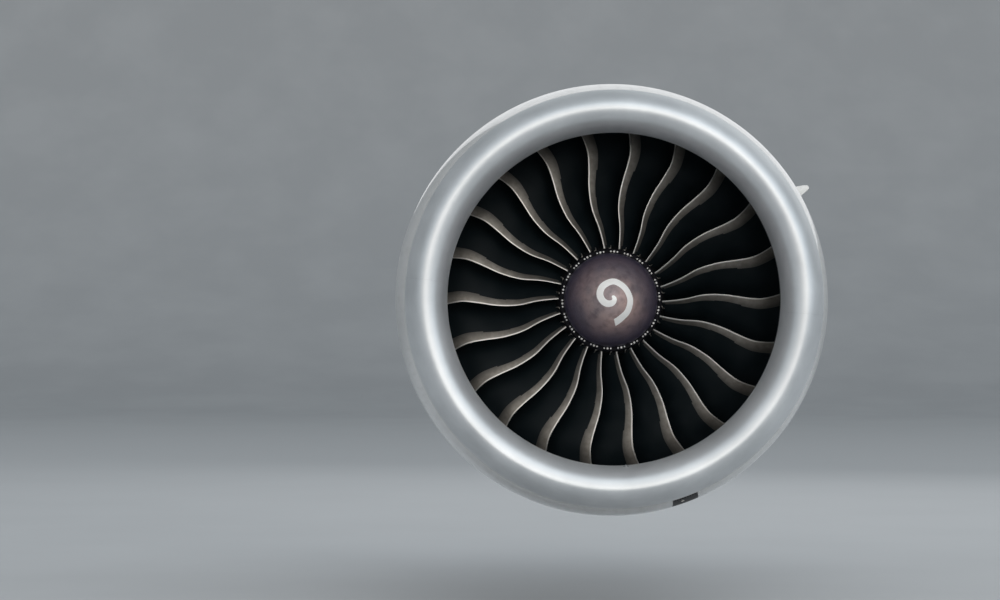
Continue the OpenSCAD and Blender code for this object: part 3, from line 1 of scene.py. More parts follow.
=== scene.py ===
# %% [markdown]
# This lesson dresses a jet engine for a picture. The engine's solids come ready made in a frame, each hung
# on the body that carries it, and they are neither moved nor reshaped here. The lesson adds the looks:
# smooth skins over the solids, a finish for every surface, a floor, lamps, a sky and a camera.

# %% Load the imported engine
import json
import math
import bmesh
import bpy
from mathutils import Matrix, Vector


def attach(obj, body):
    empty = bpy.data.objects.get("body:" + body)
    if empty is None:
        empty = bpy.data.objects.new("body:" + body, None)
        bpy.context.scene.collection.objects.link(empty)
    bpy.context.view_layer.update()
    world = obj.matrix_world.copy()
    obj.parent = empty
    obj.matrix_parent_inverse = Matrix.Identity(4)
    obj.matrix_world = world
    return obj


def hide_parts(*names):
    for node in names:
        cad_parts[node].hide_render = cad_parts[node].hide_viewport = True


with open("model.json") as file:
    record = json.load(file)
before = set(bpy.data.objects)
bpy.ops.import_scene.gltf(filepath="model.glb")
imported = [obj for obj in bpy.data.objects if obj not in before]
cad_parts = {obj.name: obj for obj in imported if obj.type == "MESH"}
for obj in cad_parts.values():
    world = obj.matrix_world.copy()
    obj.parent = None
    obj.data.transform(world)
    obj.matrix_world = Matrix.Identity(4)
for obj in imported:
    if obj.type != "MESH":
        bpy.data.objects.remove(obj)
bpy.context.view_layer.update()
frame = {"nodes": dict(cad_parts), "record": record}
carried = frame["record"]["behaviour"]["bodies"]
FAN_SPOOL = next(body for body, members in carried.items() if "fan_blades" in members)

# %% [markdown]
# A jet engine is a body of revolution, so nearly every skin on it is one outline turned about the axis.
# The lesson measures everything as a mechanic would: a clock angle seen from the front, a radius from the
# axis, and a station, which is the distance aft of the inlet's foremost circle. One helper turns these
# three into a point of the frame, and every outline below is a list of (radius, station) pairs in metres.

# %% Clock, radius and station
AXIS_HEIGHT = -1.150
MOUNT_STATION = 2.720


def at(clock, radius, station):
    turn = math.radians(clock)
    return Vector((radius * math.sin(turn), station - MOUNT_STATION, radius * math.cos(turn) + AXIS_HEIGHT))


def standing(clock, radius, station):
    """A frame of axes on the engine: x clockwise, y aft and z outward from the axis."""
    turn = math.radians(clock)
    aside, aft = Vector((math.cos(turn), 0, -math.sin(turn))), Vector((0, 1, 0))
    out = Vector((math.sin(turn), 0, math.cos(turn)))
    return Matrix.Translation(at(clock, radius, station)) @ Matrix((aside, aft, out)).transposed().to_4x4()


def even(first, last, count):
    return [first + (last - first) * i / count for i in range(count + 1)]


def soft_step(first, last, share):
    share = min(max(share, 0), 1)
    return first + (last - first) * (1 - math.cos(math.pi * share)) / 2


print("axis at", tuple(round(v, 3) for v in at(0, 0, MOUNT_STATION)))

# %% [markdown]
# The nacelle's outline is an ellipse from the lip to its widest circle, then a boat tail down to the fan
# nozzle. The inlet narrows along a second ellipse to the throat and widens again to the fan. The same
# curves shape the solids, so a smooth skin made from them lies on the solids to a fraction of a millimetre.

# %% Contours of the nacelle
LIP_RADIUS, THROAT_RADIUS, THROAT_STATION = 1.705, 1.510, 0.380
WIDEST_RADIUS, WIDEST_STATION = 2.050, 2.000
NOZZLE_RADIUS, NOZZLE_STATION, BOAT_TAIL = 1.600, 4.750, 1.8
DUCT_RADIUS, INLET_LENGTH, COWL_END = 1.630, 1.450, 2.650


def outer_radius(station):
    if station <= WIDEST_STATION:
        rise = math.sqrt(max(0, 1 - (1 - station / WIDEST_STATION) ** 2))
        return LIP_RADIUS + (WIDEST_RADIUS - LIP_RADIUS) * rise
    share = (station - WIDEST_STATION) / (NOZZLE_STATION - WIDEST_STATION)
    return WIDEST_RADIUS - (WIDEST_RADIUS - NOZZLE_RADIUS) * share ** BOAT_TAIL


def inlet_radius(station):
    if station <= THROAT_STATION:
        drop = math.sqrt(max(0, 1 - (1 - station / THROAT_STATION) ** 2))
        return LIP_RADIUS - (LIP_RADIUS - THROAT_RADIUS) * drop
    return soft_step(THROAT_RADIUS, DUCT_RADIUS, (station - THROAT_STATION) / (INLET_LENGTH - THROAT_STATION))


print("widest circle:", round(2 * outer_radius(WIDEST_STATION), 3), "m")

# %% [markdown]
# Every finish is a small node tree round one Principled shader. Real metal and paint are never one flat
# colour, so each finish gets its own noise in colour, roughness and bump. Noise that follows the turned
# surface needs coordinates that run round the axis: the direction from the axis gives a seamless
# "around", and station and radius give "along". Writing the trees through one small class keeps each
# finish down to the few lines that matter.


# %% A maker of finishes
NOISE_RANGE, NOISE_ROUGHNESS = (0.25, 0.75), 0.55


class Finish:
    def __init__(self, name, colour, metallic=0.0, roughness=0.5, **sockets):
        self.material = bpy.data.materials.new(name)
        self.material.use_nodes = True
        self.tree = self.material.node_tree
        self.shader = self.tree.nodes["Principled BSDF"]
        self.shader.inputs["Base Color"].default_value = (*colour, 1)
        self.shader.inputs["Metallic"].default_value = metallic
        self.shader.inputs["Roughness"].default_value = roughness
        for socket, value in sockets.items():
            self.shader.inputs[socket.replace("_", " ").title().replace("Ior", "IOR")].default_value = value
        self.place = self.add("ShaderNodeTexCoord").outputs["Object"]

    def add(self, kind, settings=(), inputs=()):
        node = self.tree.nodes.new(kind)
        for key, value in dict(settings).items():
            setattr(node, key, value)
        for key, value in dict(inputs).items():
            if isinstance(value, bpy.types.NodeSocket):
                self.tree.links.new(value, node.inputs[key])
            else:
                node.inputs[key].default_value = value
        return node

    def math(self, operation, first, second=0.0):
        return self.add("ShaderNodeMath", {"operation": operation}, {0: first, 1: second}).outputs[0]

    def sum(self, first, second, share=1.0, other_share=1.0):
        other = self.math("MULTIPLY", second, other_share)
        return self.math("ADD", self.math("MULTIPLY", first, share), other)

    def noise(self, scale, detail=3.0, vector=None, w=None):
        inputs = {"Scale": scale, "Detail": detail, "Roughness": NOISE_ROUGHNESS,
                  "Vector": vector or self.place}
        if w is not None:
            inputs["W"] = w
        dimensions = "3D" if w is None else "4D"
        return self.add("ShaderNodeTexNoise", {"noise_dimensions": dimensions}, inputs).outputs["Fac"]

    def span(self, value, low, high, out_low=0.0, out_high=1.0):
        node = self.add("ShaderNodeMapRange", {"clamp": True},
                        {"Value": value, "From Min": low, "From Max": high,
                         "To Min": out_low, "To Max": out_high})
        return node.outputs["Result"]

    def mix(self, factor, first, second):
        node = self.add("ShaderNodeMix", {"data_type": "RGBA"}, {0: factor})
        for socket, value in ((node.inputs[6], first), (node.inputs[7], second)):
            if isinstance(value, bpy.types.NodeSocket):
                self.tree.links.new(value, socket)
            else:
                socket.default_value = (*value, 1)
        return node.outputs[2]

    def round_axis(self, around, along):
        """Seamless coordinates round the engine's axis, and the radius."""
        x, y, z = self.add("ShaderNodeSeparateXYZ", (), {0: self.place}).outputs
        up = self.math("SUBTRACT", z, AXIS_HEIGHT)
        radius = self.math("SQRT", self.sum(self.math("MULTIPLY", x, x), self.math("MULTIPLY", up, up)))
        side = self.math("MULTIPLY", self.math("DIVIDE", x, radius), around)
        rise = self.math("MULTIPLY", self.math("DIVIDE", up, radius), around)
        vector = self.add("ShaderNodeCombineXYZ", (), {0: side, 1: self.math("MULTIPLY", y, along), 2: rise})
        self.around_x, self.around_up, self.along_y = x, up, y
        return vector.outputs[0], radius

    def colour(self, socket):
        self.tree.links.new(socket, self.shader.inputs["Base Color"])

    def rough(self, value, low, high):
        self.tree.links.new(self.span(value, *NOISE_RANGE, low, high), self.shader.inputs["Roughness"])

    def bump(self, height, strength, distance):
        node = self.add("ShaderNodeBump", (), {"Height": height, "Strength": strength, "Distance": distance})
        self.tree.links.new(node.outputs[0], self.shader.inputs["Normal"])


FINISHES = {}
print("finish maker ready")

# %% [markdown]
# The lip is bare aluminium, spun and then polished by hand in the running direction. It looks satin, with
# faint streaks round the circle, a few cloudy patches and fine pits. Four-dimensional noise does it: three
# numbers follow the circle slowly, and the fourth, the radius, changes fast.

# %% Lip metal
STREAKS_PER_METRE = 90.0
lip_finish = Finish("satin_lip_metal", (0.70, 0.70, 0.70), 0.68, 0.42)
ring_place, ring_radius = lip_finish.round_axis(2.5, STREAKS_PER_METRE)
streaks = lip_finish.noise(3.0, 4.0, ring_place, lip_finish.math("MULTIPLY", ring_radius, STREAKS_PER_METRE))
clouds = lip_finish.noise(2.2, 4.0)
pits = lip_finish.noise(240.0, 2.0)
worn = lip_finish.mix(lip_finish.span(clouds, 0.35, 0.7), (0.60, 0.62, 0.635), (0.71, 0.73, 0.745))
lip_finish.colour(lip_finish.mix(lip_finish.span(streaks, 0.62, 0.80, 0.0, 0.35), worn, (0.52, 0.53, 0.54)))
lip_finish.rough(lip_finish.sum(streaks, clouds, 0.6, 0.4), 0.36, 0.48)
lip_finish.bump(lip_finish.sum(streaks, pits, 1.0, 0.4), 0.12, 0.0006)
FINISHES["lip_metal"] = lip_finish.material
print("lip metal:", len(lip_finish.tree.nodes), "nodes")

# %% [markdown]
# The cowls are sprayed in a light grey gloss. Sprayed paint has a fine orange peel in its clear coat, and
# an engine in service has a thin, uneven film of dirt that runs aft with the air. The film is noise
# stretched along the station, and it dulls the gloss a little where it lies.

# %% Cowl paint
FILM_SCALE = 2.0


def sprayed(name, colour, dirt):
    finish = Finish(name, colour, 0.0, 0.34, coat_weight=0.7, coat_roughness=0.07)
    place = finish.round_axis(14.0, 0.9)[0]
    film = finish.noise(FILM_SCALE, 5.0, place)
    patches = finish.noise(1.1, 3.0)
    where = finish.span(patches, 0.35, 0.65, 0.25, 0.8)
    amount = finish.math("MULTIPLY", finish.span(film, 0.50, 0.78), where)
    finish.colour(finish.mix(amount, colour, dirt))
    finish.rough(finish.sum(film, patches, 0.5, 0.5), 0.28, 0.44)
    finish.bump(finish.noise(420.0, 1.0), 0.05, 0.0004)
    return finish


cowl_finish = sprayed("light_grey_gloss", (0.60, 0.60, 0.59), (0.42, 0.41, 0.385))
FINISHES["cowl_paint"] = cowl_finish.material
FINISHES["strake_paint"] = sprayed("cream_white_gloss", (0.62, 0.61, 0.56), (0.50, 0.48, 0.43)).material
print("cowl paint:", len(cowl_finish.tree.nodes), "nodes")

# %% [markdown]
# The duct walls swallow the fan's noise through thousands of small holes. Each hole is a dot on a grid
# with a whole number of columns round the axis, so that the pattern closes on itself. The dots are darker
# and pressed in.

# %% Perforated duct lining
HOLES_ROUND, HOLE_PITCH = 1400, 0.0068
HOLE_EDGE, DUST_SHADE, HOLE_SHADE = (0.14, 0.20), 1.6, 0.3


def perforated(name, colour, roughness):
    finish = Finish(name, colour, 0.0, roughness, specular_ior_level=0.3)
    finish.round_axis(3.0, 1.0)
    turn = finish.math("ARCTAN2", finish.around_x, finish.around_up)
    column = finish.math("FRACT", finish.math("MULTIPLY", turn, HOLES_ROUND / (2 * math.pi)))
    row = finish.math("FRACT", finish.math("DIVIDE", finish.along_y, HOLE_PITCH))
    across = finish.math("POWER", finish.math("SUBTRACT", column, 0.5), 2.0)
    along = finish.math("POWER", finish.math("SUBTRACT", row, 0.5), 2.0)
    hole = finish.span(finish.math("SQRT", finish.math("ADD", across, along)), *HOLE_EDGE)
    dust = finish.noise(2.5, 4.0)
    plain = finish.mix(finish.span(dust, 0.35, 0.75), colour, tuple(c * DUST_SHADE for c in colour))
    finish.colour(finish.mix(hole, tuple(c * HOLE_SHADE for c in colour), plain))
    finish.bump(hole, 0.35, 0.001)
    return finish


lining_finish = perforated("dark_perforated_lining", (0.004, 0.008, 0.010), 0.60)
FINISHES["duct_lining"] = lining_finish.material
print("lining:", len(lining_finish.tree.nodes), "nodes")

# %% [markdown]
# The other fifteen metals and paints are plain, and most of them lie inside the cowls. They differ in
# colour, in how polished they are and in how much the heat has tinted them, so one recipe with a few
# numbers serves them all: a base, a second tint in soft patches, fine machining marks round the axis and
# a grain in the bump.

# %% Metals, cast housings and composites
METAL_MARKS, PAINT_MARKS, GRAIN = 160.0, 60.0, 300.0


def plain_metal(name, colour, tint, roughness, marks=METAL_MARKS, metallic=1.0, **sockets):
    finish = Finish(name, colour, metallic, roughness, **sockets)
    place, radius = finish.round_axis(2.0, marks)
    rings = finish.noise(1.0, 2.0, place, finish.math("MULTIPLY", radius, marks))
    patches = finish.noise(3.5, 4.0)
    finish.colour(finish.mix(finish.span(patches, 0.38, 0.66), colour, tint))
    finish.rough(finish.sum(rings, patches, 0.4, 0.6), roughness - 0.06, roughness + 0.10)
    finish.bump(finish.sum(rings, finish.noise(GRAIN, 2.0), 0.6), 0.10, 0.0006)
    return finish.material


METALS = {
    "case_alloy": ((0.40, 0.41, 0.42), (0.32, 0.33, 0.34), 0.38),
    "hot_alloy": ((0.36, 0.31, 0.27), (0.22, 0.17, 0.15), 0.40),
    "nozzle_metal": ((0.42, 0.39, 0.36), (0.30, 0.27, 0.26), 0.33),
    "shaft_steel": ((0.45, 0.46, 0.48), (0.36, 0.36, 0.37), 0.28),
    "vane_alloy": ((0.20, 0.205, 0.215), (0.13, 0.135, 0.14), 0.36),
    "tank_metal": ((0.50, 0.50, 0.48), (0.40, 0.39, 0.37), 0.32),
    "mount_steel": ((0.30, 0.31, 0.33), (0.22, 0.22, 0.23), 0.42),
    "worn_edge": ((0.92, 0.88, 0.82), (0.80, 0.76, 0.70), 0.42),
}
for slot_name, (colour, tint, roughness) in METALS.items():
    FINISHES[slot_name] = plain_metal(slot_name + "_finish", colour, tint, roughness)
DULL, DULL_SHINE, USUAL_SHINE = ("ring_dark", "platform_composite", "vent_dark"), 0.12, 0.5
PAINTS = {
    "accessory_grey": ((0.26, 0.28, 0.30), (0.19, 0.20, 0.21), 0.45),
    "unit_paint": ((0.03, 0.032, 0.033), (0.05, 0.05, 0.05), 0.42),
    "ring_dark": ((0.003, 0.003, 0.005), (0.006, 0.006, 0.009), 0.65),
    "bolt_white": ((0.92, 0.92, 0.90), (0.80, 0.79, 0.77), 0.40),
    "vent_dark": ((0.020, 0.020, 0.022), (0.035, 0.034, 0.034), 0.50),
    "platform_composite": ((0.006, 0.008, 0.009), (0.012, 0.013, 0.014), 0.52),
    "cascade_composite": ((0.030, 0.030, 0.033), (0.045, 0.045, 0.047), 0.55),
}
for slot_name, (colour, tint, roughness) in PAINTS.items():
    shine = DULL_SHINE if slot_name in DULL else USUAL_SHINE
    FINISHES[slot_name] = plain_metal(slot_name + "_finish", colour, tint, roughness, PAINT_MARKS, 0.0,
                                      specular_ior_level=shine)
WORN = [FINISHES["worn_edge"]]
print("finishes:", len(FINISHES))

# %% [markdown]
# The solids that keep their own shape get their finish now, by their material slot in the record.

# %% Finish the carried-over solids
slot_of = {part["node"]: part["material_slot"] for part in frame["record"]["subparts"]}
for node_name, solid in frame["nodes"].items():
    finish = FINISHES.get(slot_of[node_name])
    if finish:
        solid.data.materials.clear()
        solid.data.materials.append(finish)
print("finished solids:", sum(1 for name in slot_of if slot_of[name] in FINISHES))

# %% [markdown]
# Pieces are made in three steps: a bmesh is shaped, it becomes a mesh object, and it is hung on the body
# that carries it. Turned pieces start as a closed outline of a wall, which a spin operator sweeps about
# the axis. The ends of a part turn are filled.

# %% Piece and spin helpers
SHARP_ANGLE = math.radians(32)
WHOLE_TURN = 359.99
MERGE_DISTANCE = 1e-6


def add_piece(name, shape, body, slot, finishes=None, replaced=()):
    mesh = bpy.data.meshes.new(name)
    shape.to_mesh(mesh)
    shape.free()
    for finish in finishes or [FINISHES[slot]]:
        mesh.materials.append(finish)
    mesh.shade_smooth()
    mesh.set_sharp_from_angle(angle=SHARP_ANGLE)
    made = bpy.data.objects.new(name, mesh)
    bpy.context.scene.collection.objects.link(made)
    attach(made, body)
    if replaced:
        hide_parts(*replaced)
    print(f"{name}: {len(mesh.polygons)} faces")


def chain(shape, points, closed=False):
    corners = [shape.verts.new(p) for p in points]
    pairs = list(zip(corners, corners[1:]))
    if closed:
        pairs.append((corners[-1], corners[0]))
    return corners, [shape.edges.new(pair) for pair in pairs]


def corners_in(made):
    return [v for v in made["geom"] if isinstance(v, bmesh.types.BMVert)]


def turned(outline, start=0.0, end=360.0, steps=240):
    shape = bmesh.new()
    corners, edges = chain(shape, [at(start, r, z) for r, z in outline], closed=True)
    whole = end - start > WHOLE_TURN
    bmesh.ops.spin(shape, geom=corners + edges, cent=at(0, 0, 0), axis=(0, 1, 0), dvec=(0, 0, 0),
                   angle=math.radians(end - start), steps=steps, use_merge=whole, use_duplicate=False)
    bmesh.ops.remove_doubles(shape, verts=shape.verts, dist=MERGE_DISTANCE)
    if not whole:
        bmesh.ops.holes_fill(shape, edges=[e for e in shape.edges if e.is_boundary], sides=0)
    bmesh.ops.recalc_face_normals(shape, faces=shape.faces)
    return shape


def skin_over(shape, rings):
    """Bridge each ring of edges to the next, and fill the first and the last."""
    for first, second in zip(rings, rings[1:]):
        bmesh.ops.bridge_loops(shape, edges=first + second)
    for ring in (rings[0], rings[-1]):
        bmesh.ops.edgeloop_fill(shape, edges=ring)
    bmesh.ops.recalc_face_normals(shape, faces=shape.faces)


print("helpers ready")

# %% [markdown]
# The lip's skin is two formed halves of 5 mm sheet. Its section is two quarter ellipses that meet at the
# foremost circle. The points are spaced by angle, so the tight curve at the front gets most of them, and
# 340 steps round the circle keep the edge and its reflection smooth.

# %% Lip skins
LIP_SKIN, LIP_OUTER_EDGE, LIP_INNER_EDGE = 0.005, 0.330, 0.200
LIP_SEAMS = (94.5, 275.8)
SEAM_HALF, LIP_POINTS, LIP_STEPS = 0.012, 36, 170


def lip_line(depth):
    line = []
    for half_height, half_length, edge in ((WIDEST_RADIUS - LIP_RADIUS, WIDEST_STATION, LIP_OUTER_EDGE),
                                           (THROAT_RADIUS - LIP_RADIUS, THROAT_STATION, LIP_INNER_EDGE)):
        last = math.acos(1 - edge / half_length)
        side = []
        for turn in even(0, last, LIP_POINTS):
            normal = Vector((half_length * math.sin(turn) * math.copysign(1, half_height),
                             -abs(half_height) * math.cos(turn))).normalized()
            side.append((LIP_RADIUS + half_height * math.sin(turn) - depth * normal.x,
                         min(half_length * (1 - math.cos(turn)) - depth * normal.y, edge)))
        line = side[::-1] if not line else line + side[1:]
    return line


for name, start, end in (("lip_skin_upper", LIP_SEAMS[1] - 360, LIP_SEAMS[0]),
                         ("lip_skin_lower", LIP_SEAMS[0], LIP_SEAMS[1])):
    skin = turned(lip_line(0) + lip_line(LIP_SKIN)[::-1], start + SEAM_HALF, end - SEAM_HALF, LIP_STEPS)
    add_piece(name, skin, "engine", "lip_metal", replaced=["lip_upper" if start < 0 else "lip_lower"])

# %% [markdown]
# The painted skins lie on the solids as a coat does. Each is a patchwork of quads between lists of clock
# angles and stations, made by a row of short spins that stop at every edge which matters, such as a door
# or a pocket. Faces inside an opening are deleted, and a solidify operator gives the coat its thickness.

# %% Painted skins
COAT, COAT_DEPTH, COAT_STEP = 0.0005, 0.0022, 1.4


def coat(stations, clocks, holes=()):
    shape = bmesh.new()
    corners, edges = chain(shape, [at(clocks[0], outer_radius(z) + COAT, z) for z in stations])
    last = corners + edges
    for start, end in zip(clocks, clocks[1:]):
        steps = max(1, round((end - start) / COAT_STEP))
        made = bmesh.ops.spin(shape, geom=last, cent=at(0, 0, 0), axis=(0, 1, 0), dvec=(0, 0, 0), steps=steps,
                              angle=math.radians(end - start), use_merge=False, use_duplicate=False)
        last = made["geom_last"]
    bmesh.ops.remove_doubles(shape, verts=shape.verts, dist=MERGE_DISTANCE)
    doomed = []
    for face in shape.faces:
        middle = face.calc_center_median()
        clock = math.degrees(math.atan2(middle.x, middle.z - AXIS_HEIGHT)) % 360
        station = middle.y + MOUNT_STATION
        if any(c0 < clock < c1 and z0 < station < z1 for c0, c1, z0, z1 in holes):
            doomed.append(face)
    bmesh.ops.delete(shape, geom=doomed, context="FACES")
    bmesh.ops.recalc_face_normals(shape, faces=shape.faces)
    sample = min(shape.faces, key=lambda f: f.calc_center_median().z)
    middle = sample.calc_center_median()
    if Vector((middle.x, 0, middle.z - AXIS_HEIGHT)).dot(sample.normal) <= 0:
        bmesh.ops.reverse_faces(shape, faces=shape.faces)
    bmesh.ops.solidify(shape, geom=shape.faces, thickness=COAT_DEPTH)
    bmesh.ops.recalc_face_normals(shape, faces=shape.faces)
    return shape


def stations_with(first, last, count, *breaks):
    return sorted(set(even(first, last, count)) | set(breaks))


print("coat helper ready")

# %% [markdown]
# The outer barrel is one coat all round, with an opening low on the right for the panel that lets the
# lip's warm air out. A small oval fitting with a raised rim lies in that panel.

# %% Barrel coat and vent fitting
VENT = (156.6, 163.8, 0.348, 0.940)
EDGE_GAP = 0.0003
barrel_stations = stations_with(LIP_OUTER_EDGE + EDGE_GAP, INLET_LENGTH - EDGE_GAP, 34, VENT[2], VENT[3])
barrel = coat(barrel_stations, [0, VENT[0], VENT[1], 360], [VENT])
add_piece("outer_barrel_coat", barrel, "engine", "cowl_paint")
FITTING_CLOCK, FITTING_STATION, FITTING_SLOPE = 161.0, 0.555, math.atan(0.155)
FITTING_LENGTH, FITTING_WIDTH, FITTING_DEPTH, FITTING_LIFT = 0.095, 0.030, 0.0035, 0.001
fitting_seat = standing(FITTING_CLOCK, outer_radius(FITTING_STATION) + FITTING_LIFT, FITTING_STATION)
fitting = bmesh.new()
bmesh.ops.create_circle(fitting, cap_ends=True, segments=36, radius=0.5,
                        matrix=fitting_seat @ Matrix.Rotation(FITTING_SLOPE, 4, "X")
                        @ Matrix.Diagonal((FITTING_WIDTH, FITTING_LENGTH, 1, 1)))
middle_face = fitting.faces[:]
bmesh.ops.inset_region(fitting, faces=middle_face, thickness=FITTING_DEPTH, depth=FITTING_DEPTH)
bmesh.ops.inset_region(fitting, faces=middle_face, thickness=FITTING_DEPTH, depth=-FITTING_DEPTH / 2)
bmesh.ops.solidify(fitting, geom=fitting.faces, thickness=FITTING_DEPTH)
bmesh.ops.recalc_face_normals(fitting, faces=fitting.faces)
add_piece("vent_fitting", fitting, "engine", "case_alloy", WORN)

# %% [markdown]
# The two fan cowls get the same kind of coat. The outboard cowl has the oil door and the pockets of three
# latch handles in it, so its coat is open there, and the door has a coat of its own.

# %% Cowl and door coats
GAP, RAIL_HALF = 0.003, 0.240
COWL_TOP = math.degrees(math.asin(RAIL_HALF / WIDEST_RADIUS))
COWL_BOTTOM = 180 - math.degrees(math.asin(GAP / 2 / WIDEST_RADIUS))
DOOR, DOOR_GAP, DOOR_HINGE_TURN = (286.0, 294.0, 1.700, 1.880), 0.002, 0.2411
HANDLES, HANDLE_LENGTH, POCKET_GAP = (1.600, 2.100, 2.450), 0.150, 0.0006
POCKET_SIDE, POCKET_RADIUS = 0.0511, 2.043
POCKET_CLOCK = 180 + math.degrees(math.asin(POCKET_SIDE / POCKET_RADIUS))
POCKETS = [(180, POCKET_CLOCK, z - POCKET_GAP, z + HANDLE_LENGTH + POCKET_GAP) for z in HANDLES]
cowl_stations = stations_with(INLET_LENGTH + GAP, COWL_END - GAP, 30)
add_piece("cowl_coat_inboard", coat(cowl_stations, [COWL_TOP, COWL_BOTTOM]),
          "cowl_inboard", "cowl_paint")
pocket_breaks = [z for pocket in POCKETS for z in pocket[2:]]
outboard_stations = stations_with(INLET_LENGTH + GAP, COWL_END - GAP, 30, *DOOR[2:], *pocket_breaks)
outboard = coat(outboard_stations,
                [360 - COWL_BOTTOM, POCKET_CLOCK, DOOR[0], DOOR[1], 360 - COWL_TOP], [DOOR] + POCKETS)
add_piece("cowl_coat_outboard", outboard, "cowl_outboard", "cowl_paint")
door = coat(even(DOOR[2] + DOOR_GAP, DOOR[3] - DOOR_GAP, 8),
            [DOOR[0] + math.degrees(DOOR_GAP / WIDEST_RADIUS), DOOR[1] - DOOR_HINGE_TURN])
add_piece("oil_door_coat", door, "oil_door", "cowl_paint")

# %% [markdown]
# Behind the cowls, the reverser's ring runs aft into narrow beams at the top and the bottom, and the two
# sleeves slide between them. The outboard side takes the inboard side's clock angles, mirrored.

# %% Ring and sleeve coats
RING_LENGTH, BEAM_SHORTER, SLEEVE_GAP, SLEEVE_TURN = 0.100, 0.140, 0.006, 0.012
RING_FRONT, RING_END = COWL_END + GAP, COWL_END + GAP + RING_LENGTH
BEAM_END, BEAM_CLOCKS = NOZZLE_STATION - BEAM_SHORTER, (7.3, 9.6, 178.3, 179.93)
HINGE_CLOCK, HINGES, HINGE_LENGTH = 8.15, (2.769, 3.354), 0.046
SLEEVE_FRONT = RING_END + SLEEVE_GAP
for side, mirrored in (("inboard", False), ("outboard", True)):
    clocks = [BEAM_CLOCKS[0], HINGE_CLOCK, *BEAM_CLOCKS[1:]]
    middle = (BEAM_CLOCKS[1], BEAM_CLOCKS[2], RING_END, BEAM_END)
    hinge_cuts = [(BEAM_CLOCKS[0], HINGE_CLOCK, z, z + HINGE_LENGTH) for z in HINGES]
    sleeve_clocks = [BEAM_CLOCKS[1] + SLEEVE_TURN, BEAM_CLOCKS[2] - SLEEVE_TURN]
    holes = [middle] + hinge_cuts
    if mirrored:
        clocks = [360 - c for c in reversed(clocks)]
        holes = [(360 - h[1], 360 - h[0], h[2], h[3]) for h in holes]
        sleeve_clocks = [360 - c for c in reversed(sleeve_clocks)]
    ring_stations = stations_with(RING_FRONT, BEAM_END, 40, RING_END, *[z for h in hinge_cuts for z in h[2:]])
    add_piece("reverser_coat_" + side, coat(ring_stations, clocks, holes),
              "duct_" + side, "cowl_paint")
    sleeve = coat(even(SLEEVE_FRONT, NOZZLE_STATION, 50), sleeve_clocks)
    add_piece("sleeve_coat_" + side, sleeve, "sleeve_in" if side == "inboard" else "sleeve_out", "cowl_paint")

# %% [markdown]
# Bare metal runs on from the lip skin to the throat, the narrowest circle. Behind it, the inner barrel of
# the inlet is a plain turned tube with the perforated lining on it.

# %% Inner barrel
LINING, LAND_END, HAIRLINE = 0.042, 0.402, 0.0002


def inlet_tube(first, last, count):
    line = [(inlet_radius(z), z) for z in even(first, last, count)]
    return turned(line + [(r + LINING, z) for r, z in reversed(line)])


for name, slot_name, first, last, count in (
        ("throat_land", "lip_metal", LIP_INNER_EDGE, LAND_END, 16),
        ("inner_barrel_lining", "duct_lining", LAND_END, INLET_LENGTH, 50)):
    add_piece(name, inlet_tube(first + HAIRLINE, last - HAIRLINE, count), "engine", slot_name,
              replaced=["inlet_inner_barrel"])

# %% [markdown]
# The spinner's paint is a metallic mauve, worn cloudy. Towards the rim it turns bluer and darker: that is a
# painted reflection of the dark duct around the spinner, and the radius drives it.

# %% Spinner paint
mauve = Finish("mauve_metallic_paint", (0.24, 0.19, 0.20), 0.25, 0.46, coat_weight=0.15, coat_roughness=0.30)
dome_r = mauve.round_axis(5.0, 6.0)[1]
# Painted reflection: with the radius, the colour turns dark blue towards the rim, as the dark duct would look
# mirrored in it.
rim = mauve.span(dome_r, 0.18, 0.43)
mottle = mauve.noise(11.0, 6.0)
smears = mauve.noise(2.4, 4.0)
speckle = mauve.noise(90.0, 2.0)
warm_share = mauve.span(smears, 0.38, 0.62)
centre_colour = mauve.mix(warm_share, (0.30, 0.255, 0.270), (0.56, 0.400, 0.370))
dome_colour = mauve.mix(rim, centre_colour, (0.055, 0.050, 0.110))
flakes = mauve.span(speckle, 0.4, 0.7, 0.0, 0.18)
dome_colour = mauve.mix(flakes, dome_colour, (0.42, 0.36, 0.36))
mauve.colour(mauve.mix(mauve.span(mottle, 0.46, 0.70, 0.0, 0.6), dome_colour, (0.12, 0.095, 0.115)))
mauve.rough(mottle, 0.36, 0.52)
mauve.bump(mottle, 0.06, 0.001)
FINISHES["spinner_paint"] = mauve.material
print("spinner paint:", len(mauve.tree.nodes), "nodes")

# %% [markdown]
# The spinner itself is a thin dome. A power curve gives its outline, and the same curve read the other way
# gives the station at any radius, which the marking on it needs. The wall ends in a flat seat at the rear.

# %% Spinner dome
SPINNER_RADIUS, SPINNER_LENGTH, SPINNER_BASE, SPINNER_WALL = 0.440, 0.610, 1.330, 0.008
SEAT_WIDTH, DOME_POWER, DOME_ROUNDING = 0.044, 1.7, 0.75
TIP_WALL, WALL_START = 1.4, 4


def dome_radius(share):
    return SPINNER_RADIUS * max(0.0, 1 - share ** DOME_POWER) ** DOME_ROUNDING


def dome_station(radius):
    share = (1 - min(radius / SPINNER_RADIUS, 1) ** (1 / DOME_ROUNDING)) ** (1 / DOME_POWER)
    return SPINNER_BASE - SPINNER_LENGTH * share


shares = [math.sin(math.pi / 2 * s) for s in even(0, 1, 40)]
dome_line = [(dome_radius(u), SPINNER_BASE - SPINNER_LENGTH * u) for u in shares]
short = SPINNER_LENGTH - SPINNER_WALL * TIP_WALL
wall_line = [(dome_radius(u) * (1 - SPINNER_WALL / SPINNER_RADIUS), SPINNER_BASE - short * u)
             for u in reversed(shares[WALL_START:])]
seat_radius = SPINNER_RADIUS - SEAT_WIDTH
seat_line = [(seat_radius, SPINNER_BASE - SPINNER_WALL), (seat_radius, SPINNER_BASE)]
dome = turned(dome_line + wall_line + seat_line, steps=180)
add_piece("spinner_dome", dome, FAN_SPOOL, "spinner_paint", replaced=["spinner"])

